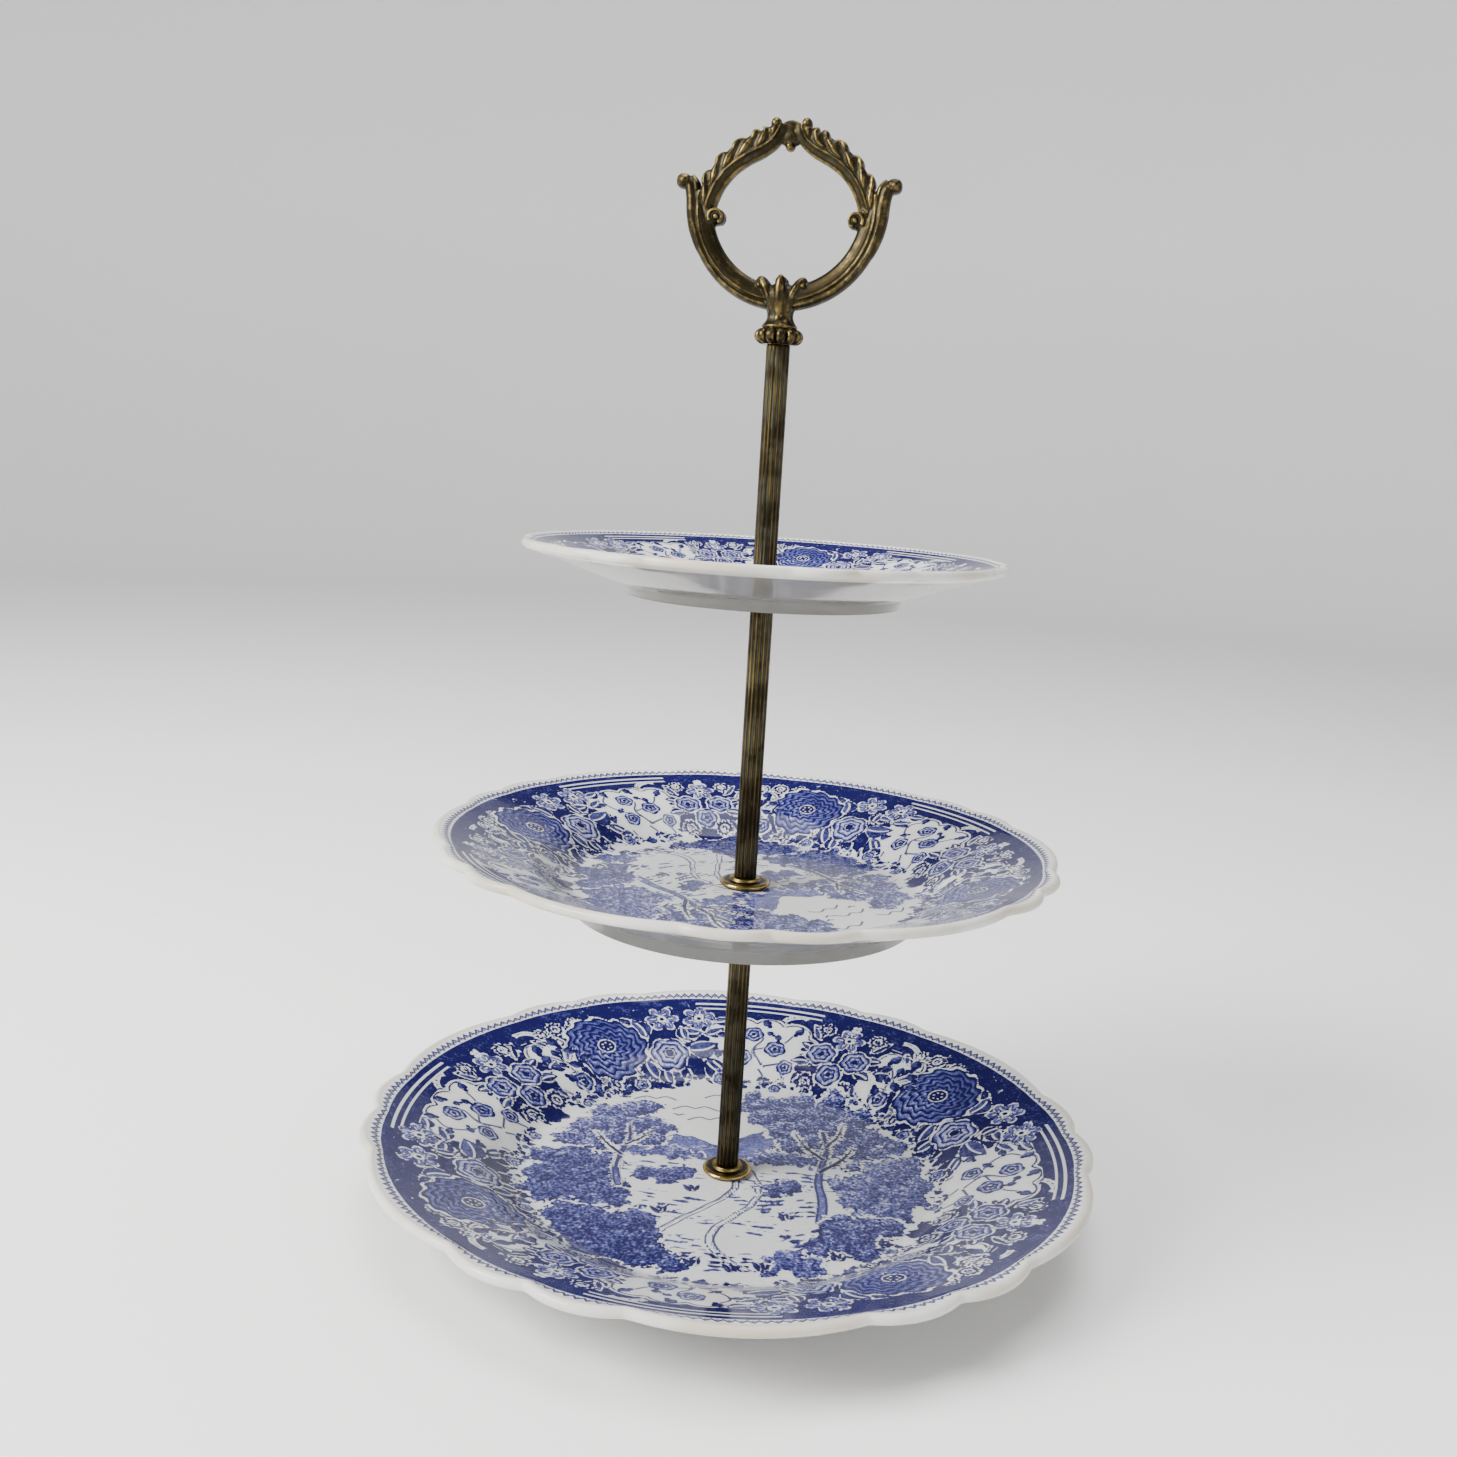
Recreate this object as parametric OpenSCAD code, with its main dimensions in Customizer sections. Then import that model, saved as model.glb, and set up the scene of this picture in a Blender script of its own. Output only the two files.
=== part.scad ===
// Three-tier cake stand: three drilled plates clamped on a screwed brass rod kit with a ring handle.
// Millimetres. Origin on the axis of the rods, on the surface that the bottom plate's foot stands on.
// +Z up, -Y towards the user. The handle's ring lies near the XZ plane.

/* [Bottom plate] */
// Radius of the bottom plate to the tips of its scallops
bottom_r = 129; // [118:1:150]
// Height of the bottom plate's rim above its foot
bottom_rim_z = 28; // [24:0.5:34]
// Height of the bottom plate's well above its foot
bottom_well_z = 7.5; // [6.8:0.1:10]
// Thickness of the bottom plate
bottom_wall = 3.6; // [3:0.1:3.8]
// Outer radius of the bottom plate's foot ring
bottom_foot_r = 74; // [66:1:78]
// Outer radius of the bottom plate's shoulder, where its sloped rim starts
bottom_shoulder_r = 91; // [86:1:100]
// Turn of the bottom plate's scallops about the rods, in degrees
bottom_turn = 34; // [0:1:60]

/* [Middle plate] */
// Radius of the middle plate to the tips of its scallops
middle_r = 107; // [96:1:124]
// Height of the middle plate's rim above its foot
middle_rim_z = 26; // [23:0.5:32]
// Height of the middle plate's well above its foot
middle_well_z = 7.6; // [6.8:0.1:10]
// Thickness of the middle plate
middle_wall = 3.4; // [3:0.1:3.8]
// Outer radius of the middle plate's foot ring
middle_foot_r = 61.5; // [54:0.5:66]
// Outer radius of the middle plate's shoulder
middle_shoulder_r = 76; // [70:1:84]
// Turn of the middle plate's scallops about the rods, in degrees
middle_turn = 4.5; // [0:0.5:60]

/* [Top plate] */
// Radius of the top plate to the tips of its scallops
top_r = 81; // [72:1:94]
// Height of the top plate's rim above its foot
top_rim_z = 16.9; // [15:0.1:22]
// Height of the top plate's well above its foot
top_well_z = 6.5; // [5.6:0.1:8]
// Thickness of the top plate
top_wall = 3; // [2.6:0.1:3.4]
// Outer radius of the top plate's foot ring
top_foot_r = 47; // [40:0.5:51]
// Outer radius of the top plate's shoulder
top_shoulder_r = 57; // [54:1:64]
// Turn of the top plate's scallops about the rods, in degrees
top_turn = 20; // [0:1:60]

/* [Plate edges] */
// Depth of the scallops as a share of a plate's radius
scallop_share = 0.024; // [0.01:0.001:0.035]
// Number of wide scallops, each followed by a pair of small ones
scallop_sets = 6; // [4:1:8]
// Share of a set's angle that the wide scallop takes
wide_share = 0.53; // [0.4:0.01:0.6]
// Width of the foot rings
foot_w = 4.5; // [3:0.5:6]
// Radius of the drilled hole in the middle of each plate
hole_r = 4; // [3.5:0.1:5]

/* [Rods] */
// Outer diameter of the fluted rods
rod_d = 7.8; // [7.2:0.1:9]
// Wall of the rod tube
rod_wall = 1; // [0.8:0.05:1.2]
// Length of the lower rod
lower_rod_l = 98.8; // [80:0.2:140]
// Length of the middle rod
middle_rod_l = 98.3; // [80:0.1:140]
// Length of the upper rod
upper_rod_l = 72.9; // [60:0.1:110]
// Number of flutes round a rod
flutes = 16; // [12:1:20]
// Depth of a flute
flute_depth = 0.3; // [0.15:0.05:0.4]
// Length of the threaded bush in each rod end
bush_l = 12; // [10:0.5:18]

/* [Screws and washers] */
// Nominal thread diameter of the studs and the screw
thread_d = 4; // [3.4:0.1:4.2]
// Depth of a stud in the bush that holds it fast
stud_fixed_l = 10; // [8:0.5:10]
// Length of thread that runs in the next bush
stud_run_l = 9; // [8.8:0.1:9.8]
// Diameter of the screw's head under the bottom plate
screw_head_d = 8; // [6.5:0.5:10]
// Height of the screw's head
screw_head_h = 1.7; // [1.4:0.1:1.8]
// Radius of the washers under the plates
washer_r = 8.2; // [7:0.1:10]
// Thickness of the washers under the plates
washer_t = 0.8; // [0.6:0.1:0.9]
// Radius of the rubber gaskets
gasket_r = 7.6; // [6.5:0.1:9]
// Thickness of a gasket's flange
gasket_t = 0.8; // [0.6:0.1:0.9]
// Depth of a gasket's shoulder in the plate's hole
gasket_lip = 1.1; // [0.6:0.1:1.3]
// Outer radius of the rosettes
rosette_r = 8.8; // [8:0.1:11]
// Height of the rosettes
rosette_h = 2.6; // [2.2:0.1:3.6]

/* [Handle] */
// Radius of the ring, to the middle of its bar
ring_r = 28; // [25:0.5:34]
// Radius of the ring's bar
bar_r = 3.9; // [3.4:0.1:4.4]
// How far the apex of the leaf arches lies below the top of a full circle
apex_drop = 5; // [2:0.2:7]
// Angle above the ring's centre where the round part ends and the leaf arches start, in degrees
arch_angle = 15; // [10:1:22]
// Bend radius of the two leaf arches
arch_bend_r = 60; // [45:1:90]
// Length of the neck between the collar and the ring
neck_l = 5.4; // [4:0.2:9]
// Height of the collar
collar_h = 5.2; // [4.4:0.1:7]
// Radius of the collar over its beads
collar_r = 8; // [7.4:0.1:9]
// Number of beads round the collar
collar_beads = 12; // [10:1:14]
// How far the ear scrolls stand out of the ring
ear_out = 3.4; // [2.6:0.1:6]
// Height of the ear scrolls above the ring's centre
ear_z = 7.6; // [6:0.2:10]
// Turn of the handle about the rods, in degrees
handle_turn = -10; // [-30:1:30]

/* [Fits] */
// Radial clearance of a running thread or a turning washer
running_gap = 0.05; // [0.02:0.01:0.1]

/* [Hidden] */
$fn = 96;

// The sloped rims of all three plates climb at this angle.
rim_angle = 17.5;
// Steps along the curved shoulder and round the rim's edge.
shoulder_steps = 8;
edge_steps = 6;
// The foot ring is cut back to this share of its width where it stands.
foot_tread = 0.5;
overlap = 1;

// Radii of the running and the tight threads.
thread_r = thread_d / 2;
bore_r = thread_r + running_gap;
bush_r = rod_d / 2 - rod_wall;
screw_slot_w = 1;
screw_slot_depth = screw_head_h * 0.45;

// Heights of the pieces in the stack, from the table up.
bottom_under_z = bottom_well_z - bottom_wall;
bottom_seat_z = bottom_well_z + gasket_t;
lower_rod_z = bottom_seat_z + rosette_h;
lower_rod_top_z = lower_rod_z + lower_rod_l;
middle_under_z = lower_rod_top_z + washer_t + gasket_t;
middle_foot_z = middle_under_z - (middle_well_z - middle_wall);
middle_seat_z = middle_under_z + middle_wall + gasket_t;
middle_rod_z = middle_seat_z + rosette_h;
middle_rod_top_z = middle_rod_z + middle_rod_l;
top_under_z = middle_rod_top_z + washer_t + gasket_t;
top_foot_z = top_under_z - (top_well_z - top_wall);
top_seat_z = top_under_z + top_wall + gasket_t;
upper_rod_z = top_seat_z + rosette_h;
upper_rod_top_z = upper_rod_z + upper_rod_l;
neck_z = upper_rod_top_z + collar_h;
ring_z = neck_z + neck_l + bar_r + ring_r;
apex_z = ring_r - apex_drop;
ear_reach = ring_r + bar_r + ear_out;

// Smaller shapes of the handle.
neck_foot_r = 6.2;
neck_waist_r = 4.5;
palmette_r = 6.4;
palmette_h = 6.8;
ear_r = 2.6;
volute_r = 2.8;
peak_r = 3;
peak_x = 4.6;
peak_rise = 0.6;
elbow_r = bar_r + 0.2;
bead_gap = 0.7;
bead_r = collar_r * sin(180 / collar_beads) * 0.76;

// ---- plates ----

// Height of a plate's upper surface over its foot: flat well, S-curved shoulder, straight sloped rim.
function shoulder_top(r, rim_z, shoulder_r) = rim_z - (r - shoulder_r) * tan(rim_angle);
function shoulder_curve(t, rise, run) =
    rise * (3 * t * t - 2 * t * t * t) + run * tan(rim_angle) * (t * t * t - t * t);
function well_edge(foot_r) = foot_r - foot_w / 2;
function shoulder_points(r, rim_z, well_z, shoulder_r, foot_r) = [
    for (i = [0 : shoulder_steps])
        let (t = i / shoulder_steps,
             run = shoulder_r - well_edge(foot_r),
             rise = shoulder_top(r, rim_z, shoulder_r) - well_z)
        [well_edge(foot_r) + t * run, well_z + shoulder_curve(t, rise, run)]
];

// Rounded edge of the rim, from its upper side round to its lower side.
function rim_points(r, rim_z, wall) = [
    for (i = [0 : edge_steps])
        let (a = 90 - i * 180 / edge_steps)
        [r - wall / 2 + wall / 2 * cos(a), rim_z - wall / 2 + wall / 2 * sin(a)]
];

function lowered(points, drop) = [for (p = points) [p[0], p[1] - drop]];
function reversed(points) = [for (i = [len(points) - 1 : -1 : 0]) points[i]];

// Foot ring: a tapered ring that stands on z = 0 under the edge of the well.
function foot_points(foot_r, under_z) = [
    [foot_r, under_z],
    [foot_r - foot_w * (1 - foot_tread) / 2, 0],
    [foot_r - foot_w * (1 + foot_tread) / 2, 0],
    [foot_r - foot_w, under_z]
];

module plate_profile(r, rim_z, well_z, wall, shoulder_r, foot_r) {
    upper = shoulder_points(r, rim_z, well_z, shoulder_r, foot_r);
    beyond_foot = [for (p = lowered(upper, wall)) if (p[0] > foot_r) p];
    polygon(concat(
        [[hole_r, well_z]], upper, rim_points(r, rim_z, wall), reversed(beyond_foot),
        foot_points(foot_r, well_z - wall), [[hole_r, well_z - wall]]
    ));
}

// Distance from the axis to the centre of the circle that makes a scallop of half angle h.
function lobe_centre(r, depth, h) =
    (r * r - (r - depth) * (r - depth)) / (2 * (r - (r - depth) * cos(h)));

module lobe(r, depth, h, angle) {
    centre = lobe_centre(r, depth, h);
    rotate([0, 0, angle])
        translate([centre, 0, 0])
            cylinder(r = r - centre, h = 2 * r, center = true);
}

// Scalloped outline: sets of one wide arc and two small ones, run up as a column.
module scalloped_column(r) {
    depth = r * scallop_share;
    set_angle = 360 / scallop_sets;
    wide_half = set_angle * wide_share / 2;
    small_half = set_angle * (1 - wide_share) / 4;
    for (k = [0 : scallop_sets - 1]) {
        lobe(r, depth, wide_half, k * set_angle);
        for (side = [-1, 1])
            lobe(r, depth, small_half, k * set_angle + set_angle / 2 + side * small_half);
    }
}

module plate(r, rim_z, well_z, wall, shoulder_r, foot_r, turn) {
    intersection() {
        rotate_extrude($fn = 180)
            plate_profile(r, rim_z, well_z, wall, shoulder_r, foot_r);
        rotate([0, 0, turn]) scalloped_column(r);
    }
}

module bottom_plate() {
    color("aliceblue")
        plate(bottom_r, bottom_rim_z, bottom_well_z, bottom_wall,
              bottom_shoulder_r, bottom_foot_r, bottom_turn);
}

module middle_plate() {
    color("aliceblue")
        translate([0, 0, middle_foot_z])
            plate(middle_r, middle_rim_z, middle_well_z, middle_wall,
                  middle_shoulder_r, middle_foot_r, middle_turn);
}

module top_plate() {
    color("aliceblue")
        translate([0, 0, top_foot_z])
            plate(top_r, top_rim_z, top_well_z, top_wall,
                  top_shoulder_r, top_foot_r, top_turn);
}

// ---- washers, gaskets and rosettes ----

// Flat steel washer standing on z.
module washer(z) {
    translate([0, 0, z])
        difference() {
            cylinder(r = washer_r, h = washer_t);
            translate([0, 0, -overlap]) cylinder(r = bore_r, h = washer_t + 2 * overlap);
        }
}

// Rubber gasket whose flange lies against a plate's face at z and whose shoulder enters its hole.
// side is 1 for a gasket on top of the plate and -1 for one under it.
module gasket(z, side) {
    translate([0, 0, z])
        mirror([0, 0, side > 0 ? 0 : 1])
            difference() {
                union() {
                    cylinder(r = gasket_r, h = gasket_t);
                    translate([0, 0, -gasket_lip]) cylinder(r = hole_r, h = gasket_lip + gasket_t / 2);
                }
                translate([0, 0, -gasket_lip - overlap])
                    cylinder(r = bore_r, h = gasket_lip + gasket_t + 2 * overlap);
            }
}

// Domed brass rosette with a rounded lip, standing on z. The rod's end seats on its flat top.
module rosette(z) {
    lip_h = rosette_h * 0.45;
    translate([0, 0, z])
        rotate_extrude()
            polygon([
                [bore_r, 0], [rosette_r - 0.4, 0], [rosette_r, lip_h * 0.35],
                [rosette_r, lip_h * 0.75], [rosette_r - 0.6, lip_h], [rosette_r - 1.6, lip_h],
                [rod_d / 2 + 2, rosette_h * 0.8], [rod_d / 2 + 0.5, rosette_h], [bore_r, rosette_h]
            ]);
}

module bottom_washer() {
    color("silver") washer(bottom_under_z - gasket_t - washer_t);
}

module bottom_gasket_under() {
    color("dimgray") gasket(bottom_under_z, -1);
}

module bottom_gasket_over() {
    color("dimgray") gasket(bottom_well_z, 1);
}

module bottom_rosette() {
    color("darkgoldenrod") rosette(bottom_seat_z);
}

module middle_washer() {
    color("silver") washer(lower_rod_top_z);
}

module middle_gasket_under() {
    color("dimgray") gasket(middle_under_z, -1);
}

module middle_gasket_over() {
    color("dimgray") gasket(middle_under_z + middle_wall, 1);
}

module middle_rosette() {
    color("darkgoldenrod") rosette(middle_seat_z);
}

module top_washer() {
    color("silver") washer(middle_rod_top_z);
}

module top_gasket_under() {
    color("dimgray") gasket(top_under_z, -1);
}

module top_gasket_over() {
    color("dimgray") gasket(top_under_z + top_wall, 1);
}

module top_rosette() {
    color("darkgoldenrod") rosette(top_seat_z);
}

// ---- rods, bushes, studs and the screw ----

// Fluted tube of length l standing on z.
module fluted_rod(z, l) {
    flute_r = rod_d * PI / flutes * 0.36;
    translate([0, 0, z])
        difference() {
            cylinder(r = rod_d / 2, h = l);
            translate([0, 0, -overlap]) cylinder(r = bush_r, h = l + 2 * overlap);
            for (i = [0 : flutes - 1])
                rotate([0, 0, i * 360 / flutes])
                    translate([rod_d / 2 + flute_r - flute_depth, 0, -overlap])
                        cylinder(r = flute_r, h = l + 2 * overlap, $fn = 24);
        }
}

// Threaded bush pressed into a rod's end, standing on z.
module bush(z) {
    translate([0, 0, z])
        difference() {
            cylinder(r = bush_r, h = bush_l);
            translate([0, 0, -overlap]) cylinder(r = bore_r, h = bush_l + 2 * overlap);
        }
}

// Stud that leaves the face at z. Its tight half fills the thread below, its running half
// stands above. side is 1 where it stands up and -1 where it hangs down.
module stud(z, run_l, side) {
    translate([0, 0, z])
        mirror([0, 0, side > 0 ? 0 : 1]) {
            translate([0, 0, -stud_fixed_l]) cylinder(r = bore_r, h = stud_fixed_l);
            cylinder(r = thread_r, h = run_l);
        }
}

module bottom_screw() {
    head_z = bottom_under_z - gasket_t - washer_t - screw_head_h;
    shank_l = lower_rod_z + stud_run_l - head_z;
    color("silver")
        translate([0, 0, head_z])
            difference() {
                union() {
                    cylinder(r = screw_head_d / 2, h = screw_head_h);
                    cylinder(r = thread_r, h = shank_l);
                }
                translate([-screw_head_d, -screw_slot_w / 2, -overlap])
                    cube([2 * screw_head_d, screw_slot_w, screw_slot_depth + overlap]);
            }
}

module lower_rod() {
    color("darkgoldenrod") fluted_rod(lower_rod_z, lower_rod_l);
}

module lower_rod_foot_bush() {
    color("gold") bush(lower_rod_z);
}

module lower_rod_top_bush() {
    color("gold") bush(lower_rod_top_z - bush_l);
}

module lower_stud() {
    color("silver") stud(lower_rod_top_z, middle_rod_z - lower_rod_top_z + stud_run_l, 1);
}

module middle_rod() {
    color("darkgoldenrod") fluted_rod(middle_rod_z, middle_rod_l);
}

module middle_rod_foot_bush() {
    color("gold") bush(middle_rod_z);
}

module middle_rod_top_bush() {
    color("gold") bush(middle_rod_top_z - bush_l);
}

module upper_stud() {
    color("silver") stud(middle_rod_top_z, upper_rod_z - middle_rod_top_z + stud_run_l, 1);
}

module upper_rod() {
    color("darkgoldenrod") fluted_rod(upper_rod_z, upper_rod_l);
}

module upper_rod_foot_bush() {
    color("gold") bush(upper_rod_z);
}

module upper_rod_top_bush() {
    color("gold") bush(upper_rod_top_z - bush_l);
}

// ---- handle ----

// Ring of beads round a plain core, between the upper rod's end and the handle's neck.
module handle_collar() {
    color("darkgoldenrod")
        translate([0, 0, upper_rod_top_z])
            difference() {
                union() {
                    cylinder(r = collar_r - bead_r * 0.8, h = collar_h);
                    for (i = [0 : collar_beads - 1])
                        rotate([0, 0, i * 360 / collar_beads])
                            translate([collar_r - bead_r, 0, bead_gap])
                                cylinder(r = bead_r, h = collar_h - 2 * bead_gap, $fn = 48);
                }
                translate([0, 0, -overlap]) cylinder(r = bore_r, h = collar_h + 2 * overlap);
            }
}

module handle_stud() {
    color("silver") stud(neck_z, collar_h + stud_run_l, -1);
}

// Round bar bent about the ring's centre from angle a, through sweep degrees.
module ring_arc(a, sweep) {
    rotate([90, 0, 0])
        rotate([0, 0, a])
            rotate_extrude(angle = sweep)
                translate([ring_r, 0]) circle(r = bar_r, $fn = 48);
}

// Leaf arch: round bar bent at arch_bend_r from the end of the round part to the apex.
module leaf_arch() {
    foot = [ring_r * cos(arch_angle), ring_r * sin(arch_angle)];
    apex = [0, apex_z];
    half = norm(apex - foot) / 2;
    middle = (foot + apex) / 2;
    inward = [-(foot - apex)[1], (foot - apex)[0]] / norm(foot - apex);
    back = sqrt(arch_bend_r * arch_bend_r - half * half);
    centre = middle - sign(middle * inward) * inward * back;
    start = atan2(foot[1] - centre[1], foot[0] - centre[0]);
    sweep = 2 * asin(half / arch_bend_r);
    translate([centre[0], 0, centre[1]])
        rotate([90, 0, 0])
            rotate([0, 0, start])
                rotate_extrude(angle = sweep)
                    translate([arch_bend_r, 0]) circle(r = bar_r, $fn = 48);
    translate([foot[0], 0, foot[1]]) sphere(r = elbow_r, $fn = 48);
}

// One side of the handle's scrollwork: ear, inner volute and peak.
module scrolls() {
    ear_foot = [ring_r, -4];
    ear_tip = [ear_reach - ear_r, ear_z];
    lean = atan2(ear_tip[0] - ear_foot[0], ear_tip[1] - ear_foot[1]);
    translate([ear_foot[0], 0, ear_foot[1]])
        rotate([0, lean, 0]) cylinder(r = ear_r - 0.2, h = norm(ear_tip - ear_foot), $fn = 32);
    translate([ear_tip[0], 0, ear_tip[1]]) sphere(r = ear_r, $fn = 32);
    translate([ring_r - bar_r - volute_r / 2, 0, -3.4]) sphere(r = volute_r, $fn = 32);
    translate([peak_x, 0, apex_z + bar_r + peak_rise - peak_r]) sphere(r = peak_r, $fn = 32);
}

// Vase-shaped neck that ends in the palmette.
module neck() {
    waist_z = neck_l * 0.8;
    rotate_extrude()
        polygon([
            [0, 0], [neck_foot_r, 0], [neck_foot_r - 0.6, neck_l * 0.25], [neck_waist_r, waist_z],
            [neck_waist_r + 0.6, waist_z + 3], [palmette_r, neck_l + bar_r * 1.4],
            [palmette_r - 2, neck_l + bar_r * 2], [1.4, neck_l + bar_r * 2 + palmette_h - 4],
            [0, neck_l + bar_r * 2 + palmette_h - 3.8]
        ]);
}

module handle() {
    color("darkgoldenrod")
        rotate([0, 0, handle_turn])
            difference() {
                union() {
                    translate([0, 0, ring_z]) {
                        ring_arc(180 - arch_angle, 180 + 2 * arch_angle);
                        for (side = [0, 1]) mirror([side, 0, 0]) {
                            leaf_arch();
                            scrolls();
                        }
                    }
                    translate([0, 0, neck_z]) neck();
                }
                translate([0, 0, neck_z - overlap]) cylinder(r = bore_r, h = stud_fixed_l + overlap);
            }
}

bottom_plate();
bottom_screw();
bottom_washer();
bottom_gasket_under();
bottom_gasket_over();
bottom_rosette();
lower_rod();
lower_rod_foot_bush();
lower_rod_top_bush();
lower_stud();
middle_plate();
middle_washer();
middle_gasket_under();
middle_gasket_over();
middle_rosette();
middle_rod();
middle_rod_foot_bush();
middle_rod_top_bush();
upper_stud();
top_plate();
top_washer();
top_gasket_under();
top_gasket_over();
top_rosette();
upper_rod();
upper_rod_foot_bush();
upper_rod_top_bush();
handle_collar();
handle_stud();
handle();
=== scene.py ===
"""Looks of a three-tier cake stand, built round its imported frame.

The frame gives every size and place. This file adds what a maker would add at the bench: the thrown and
glazed plates with their blue print, the drawn and aged brass rods, the cast handle, and plain finishes for
the hardware underneath. Lengths are metres unless a name ends in _mm; the print is laid out in millimetres
of a plate whose tips reach PRINT_R millimetres, and is scaled to each plate.
"""
import math

import bpy
import numpy as np
from mathutils import Matrix, Vector


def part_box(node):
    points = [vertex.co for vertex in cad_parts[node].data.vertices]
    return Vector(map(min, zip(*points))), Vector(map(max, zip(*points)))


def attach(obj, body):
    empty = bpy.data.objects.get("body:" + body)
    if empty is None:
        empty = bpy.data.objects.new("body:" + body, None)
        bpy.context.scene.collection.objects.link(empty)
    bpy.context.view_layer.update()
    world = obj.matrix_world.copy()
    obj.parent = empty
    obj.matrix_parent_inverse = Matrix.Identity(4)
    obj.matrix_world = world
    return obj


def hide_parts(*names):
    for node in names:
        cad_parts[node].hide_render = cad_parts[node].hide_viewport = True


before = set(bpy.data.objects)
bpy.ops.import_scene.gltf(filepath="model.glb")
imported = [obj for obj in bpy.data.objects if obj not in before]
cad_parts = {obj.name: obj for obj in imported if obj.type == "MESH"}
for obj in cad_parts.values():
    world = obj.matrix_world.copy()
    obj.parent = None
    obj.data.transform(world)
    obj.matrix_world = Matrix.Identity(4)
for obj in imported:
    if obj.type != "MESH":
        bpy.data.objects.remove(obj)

bl_info = {
    "name": "Tiered Cake Stand",
    "version": (1, 0, 0),
    "blender": (4, 5, 0),
    "location": "View3D > Sidebar > Cake Stand",
    "description": "Printed plates, aged brass rods and a cast ring handle round a packed frame",
    "category": "Add Mesh",
}

MM = 0.001
PRINT_R = 129.0          # print layout: radius of the plate to its scallop tips
RIM_SLOPE = math.radians(17.5)
SCALLOP_SETS = 6         # each of one wide and two narrow scallops
WIDE_SHARE = 0.53        # of a set that its wide scallop takes
SCALLOP_DEPTH = 0.024    # of the tip radius
BAND_R = (107.4, 121.6)  # print layout: the blue band's inner and outer radius
TEETH = 232              # zig-zag teeth round the rim
BLANK_SPAN = 160.0       # stands for "under the plate" in the span attribute
STUD_BORE = 2.05         # mm, radius of the holes that a stud passes
TUBE_WALL = 1.0          # mm, of a rod
RING_R = 28              # mm, middle of the handle's ring bar
NECK_FOOT = 37.3         # mm, from the ring's centre down to the neck's foot
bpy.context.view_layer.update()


# ---------------------------------------------------------------- shared mesh helpers

def smooth(low, high, value):
    """Smoothstep: 0 below low, 1 above high, an S-curve between."""
    t = np.clip((value - low) / (high - low), 0, 1)
    return t * t * (3 - 2 * t)


def turned(x, y, degrees):
    """The point (x, y) turned about the origin, anticlockwise."""
    c, s = math.cos(math.radians(degrees)), math.sin(math.radians(degrees))
    return c * x - s * y, s * x + c * y


def ripple(x, y, length, seed):
    """Smooth irregular wave between about -1 and 1: seven plane waves of nearly the same length,
    with directions and phases from a seeded generator."""
    rng = np.random.default_rng(seed)
    total = np.zeros(np.shape(x))
    for _ in range(7):
        heading = rng.uniform(0, 2 * math.pi)
        wave = 2 * math.pi / (length * rng.uniform(0.7, 1.5))
        total = total + np.sin(wave * (x * math.cos(heading) + y * math.sin(heading)) + rng.uniform(0, 6.3))
    return total / 3.2


def mesh_piece(name, points, faces, smooth_shading=True):
    """New object at the origin from an (n, 3) array and a list or arrays of faces."""
    data = bpy.data.meshes.new(name)
    data.from_pydata(points.tolist(), [], [f for group in faces for f in group.tolist()])
    data.polygons.foreach_set("use_smooth", np.full(len(data.polygons), smooth_shading))
    data.update()
    piece = bpy.data.objects.new(name, data)
    bpy.context.scene.collection.objects.link(piece)
    return piece


def tube_faces(rings, sides, start=0, flip=False):
    """Quads of a grid of rings by sides whose sides wrap round."""
    i, j = np.meshgrid(np.arange(rings - 1), np.arange(sides), indexing="ij")
    nxt = (j + 1) % sides
    quads = np.stack([i * sides + j, i * sides + nxt, (i + 1) * sides + nxt, (i + 1) * sides + j], -1)
    quads = quads.reshape(-1, 4) + start
    return quads[:, ::-1] if flip else quads


def round_points(radius, angle, height):
    """Points (r cos a, r sin a, h) as an (n, 3) array, from arrays that broadcast to rings by sides."""
    return np.stack([radius * np.cos(angle), radius * np.sin(angle), height + 0 * radius], -1).reshape(-1, 3)


def end_fans(sides, count):
    """Fans that close a tube of count points at both ends; its two end points are count and count + 1."""
    i = np.arange(sides)
    nxt = (i + 1) % sides
    return np.vstack([np.stack([nxt, i, np.full(sides, count)], 1),
                      np.stack([count - sides + i, count - sides + nxt, np.full(sides, count + 1)], 1)])


def bored(shell, rows, sides, bore_r, angle, z0, z1):
    """Adds a plain bore to a shell of rows by sides: all points, then the quads that close the two ends
    and line the bore."""
    bore = np.stack([bore_r * np.cos(angle), bore_r * np.sin(angle), 0 * angle], -1)
    i, last = np.arange(sides), rows * sides
    nxt = (i + 1) % sides
    closing = np.vstack([np.stack([last - sides + i, last - sides + nxt, last + nxt, last + i], 1),
                         np.stack([last + i, last + nxt, last + sides + nxt, last + sides + i], 1),
                         np.stack([last + sides + i, last + sides + nxt, nxt, i], 1)])
    return np.vstack([shell, bore + (0, 0, z1), bore + (0, 0, z0)]), closing


def float_layer(piece, name, values):
    """Stores one number a vertex under a name that a material reads."""
    layer = piece.data.attributes.new(name, "FLOAT", "POINT")
    layer.data.foreach_set("value", np.asarray(values, np.float32))


def place(piece, body, slot, *nodes):
    """Rides the piece on its body, with the nodes that it stands for. The slot argument is not used."""
    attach(piece, body)
    if nodes:
        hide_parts(*nodes)
    return piece


# ---------------------------------------------------------------- materials

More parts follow.
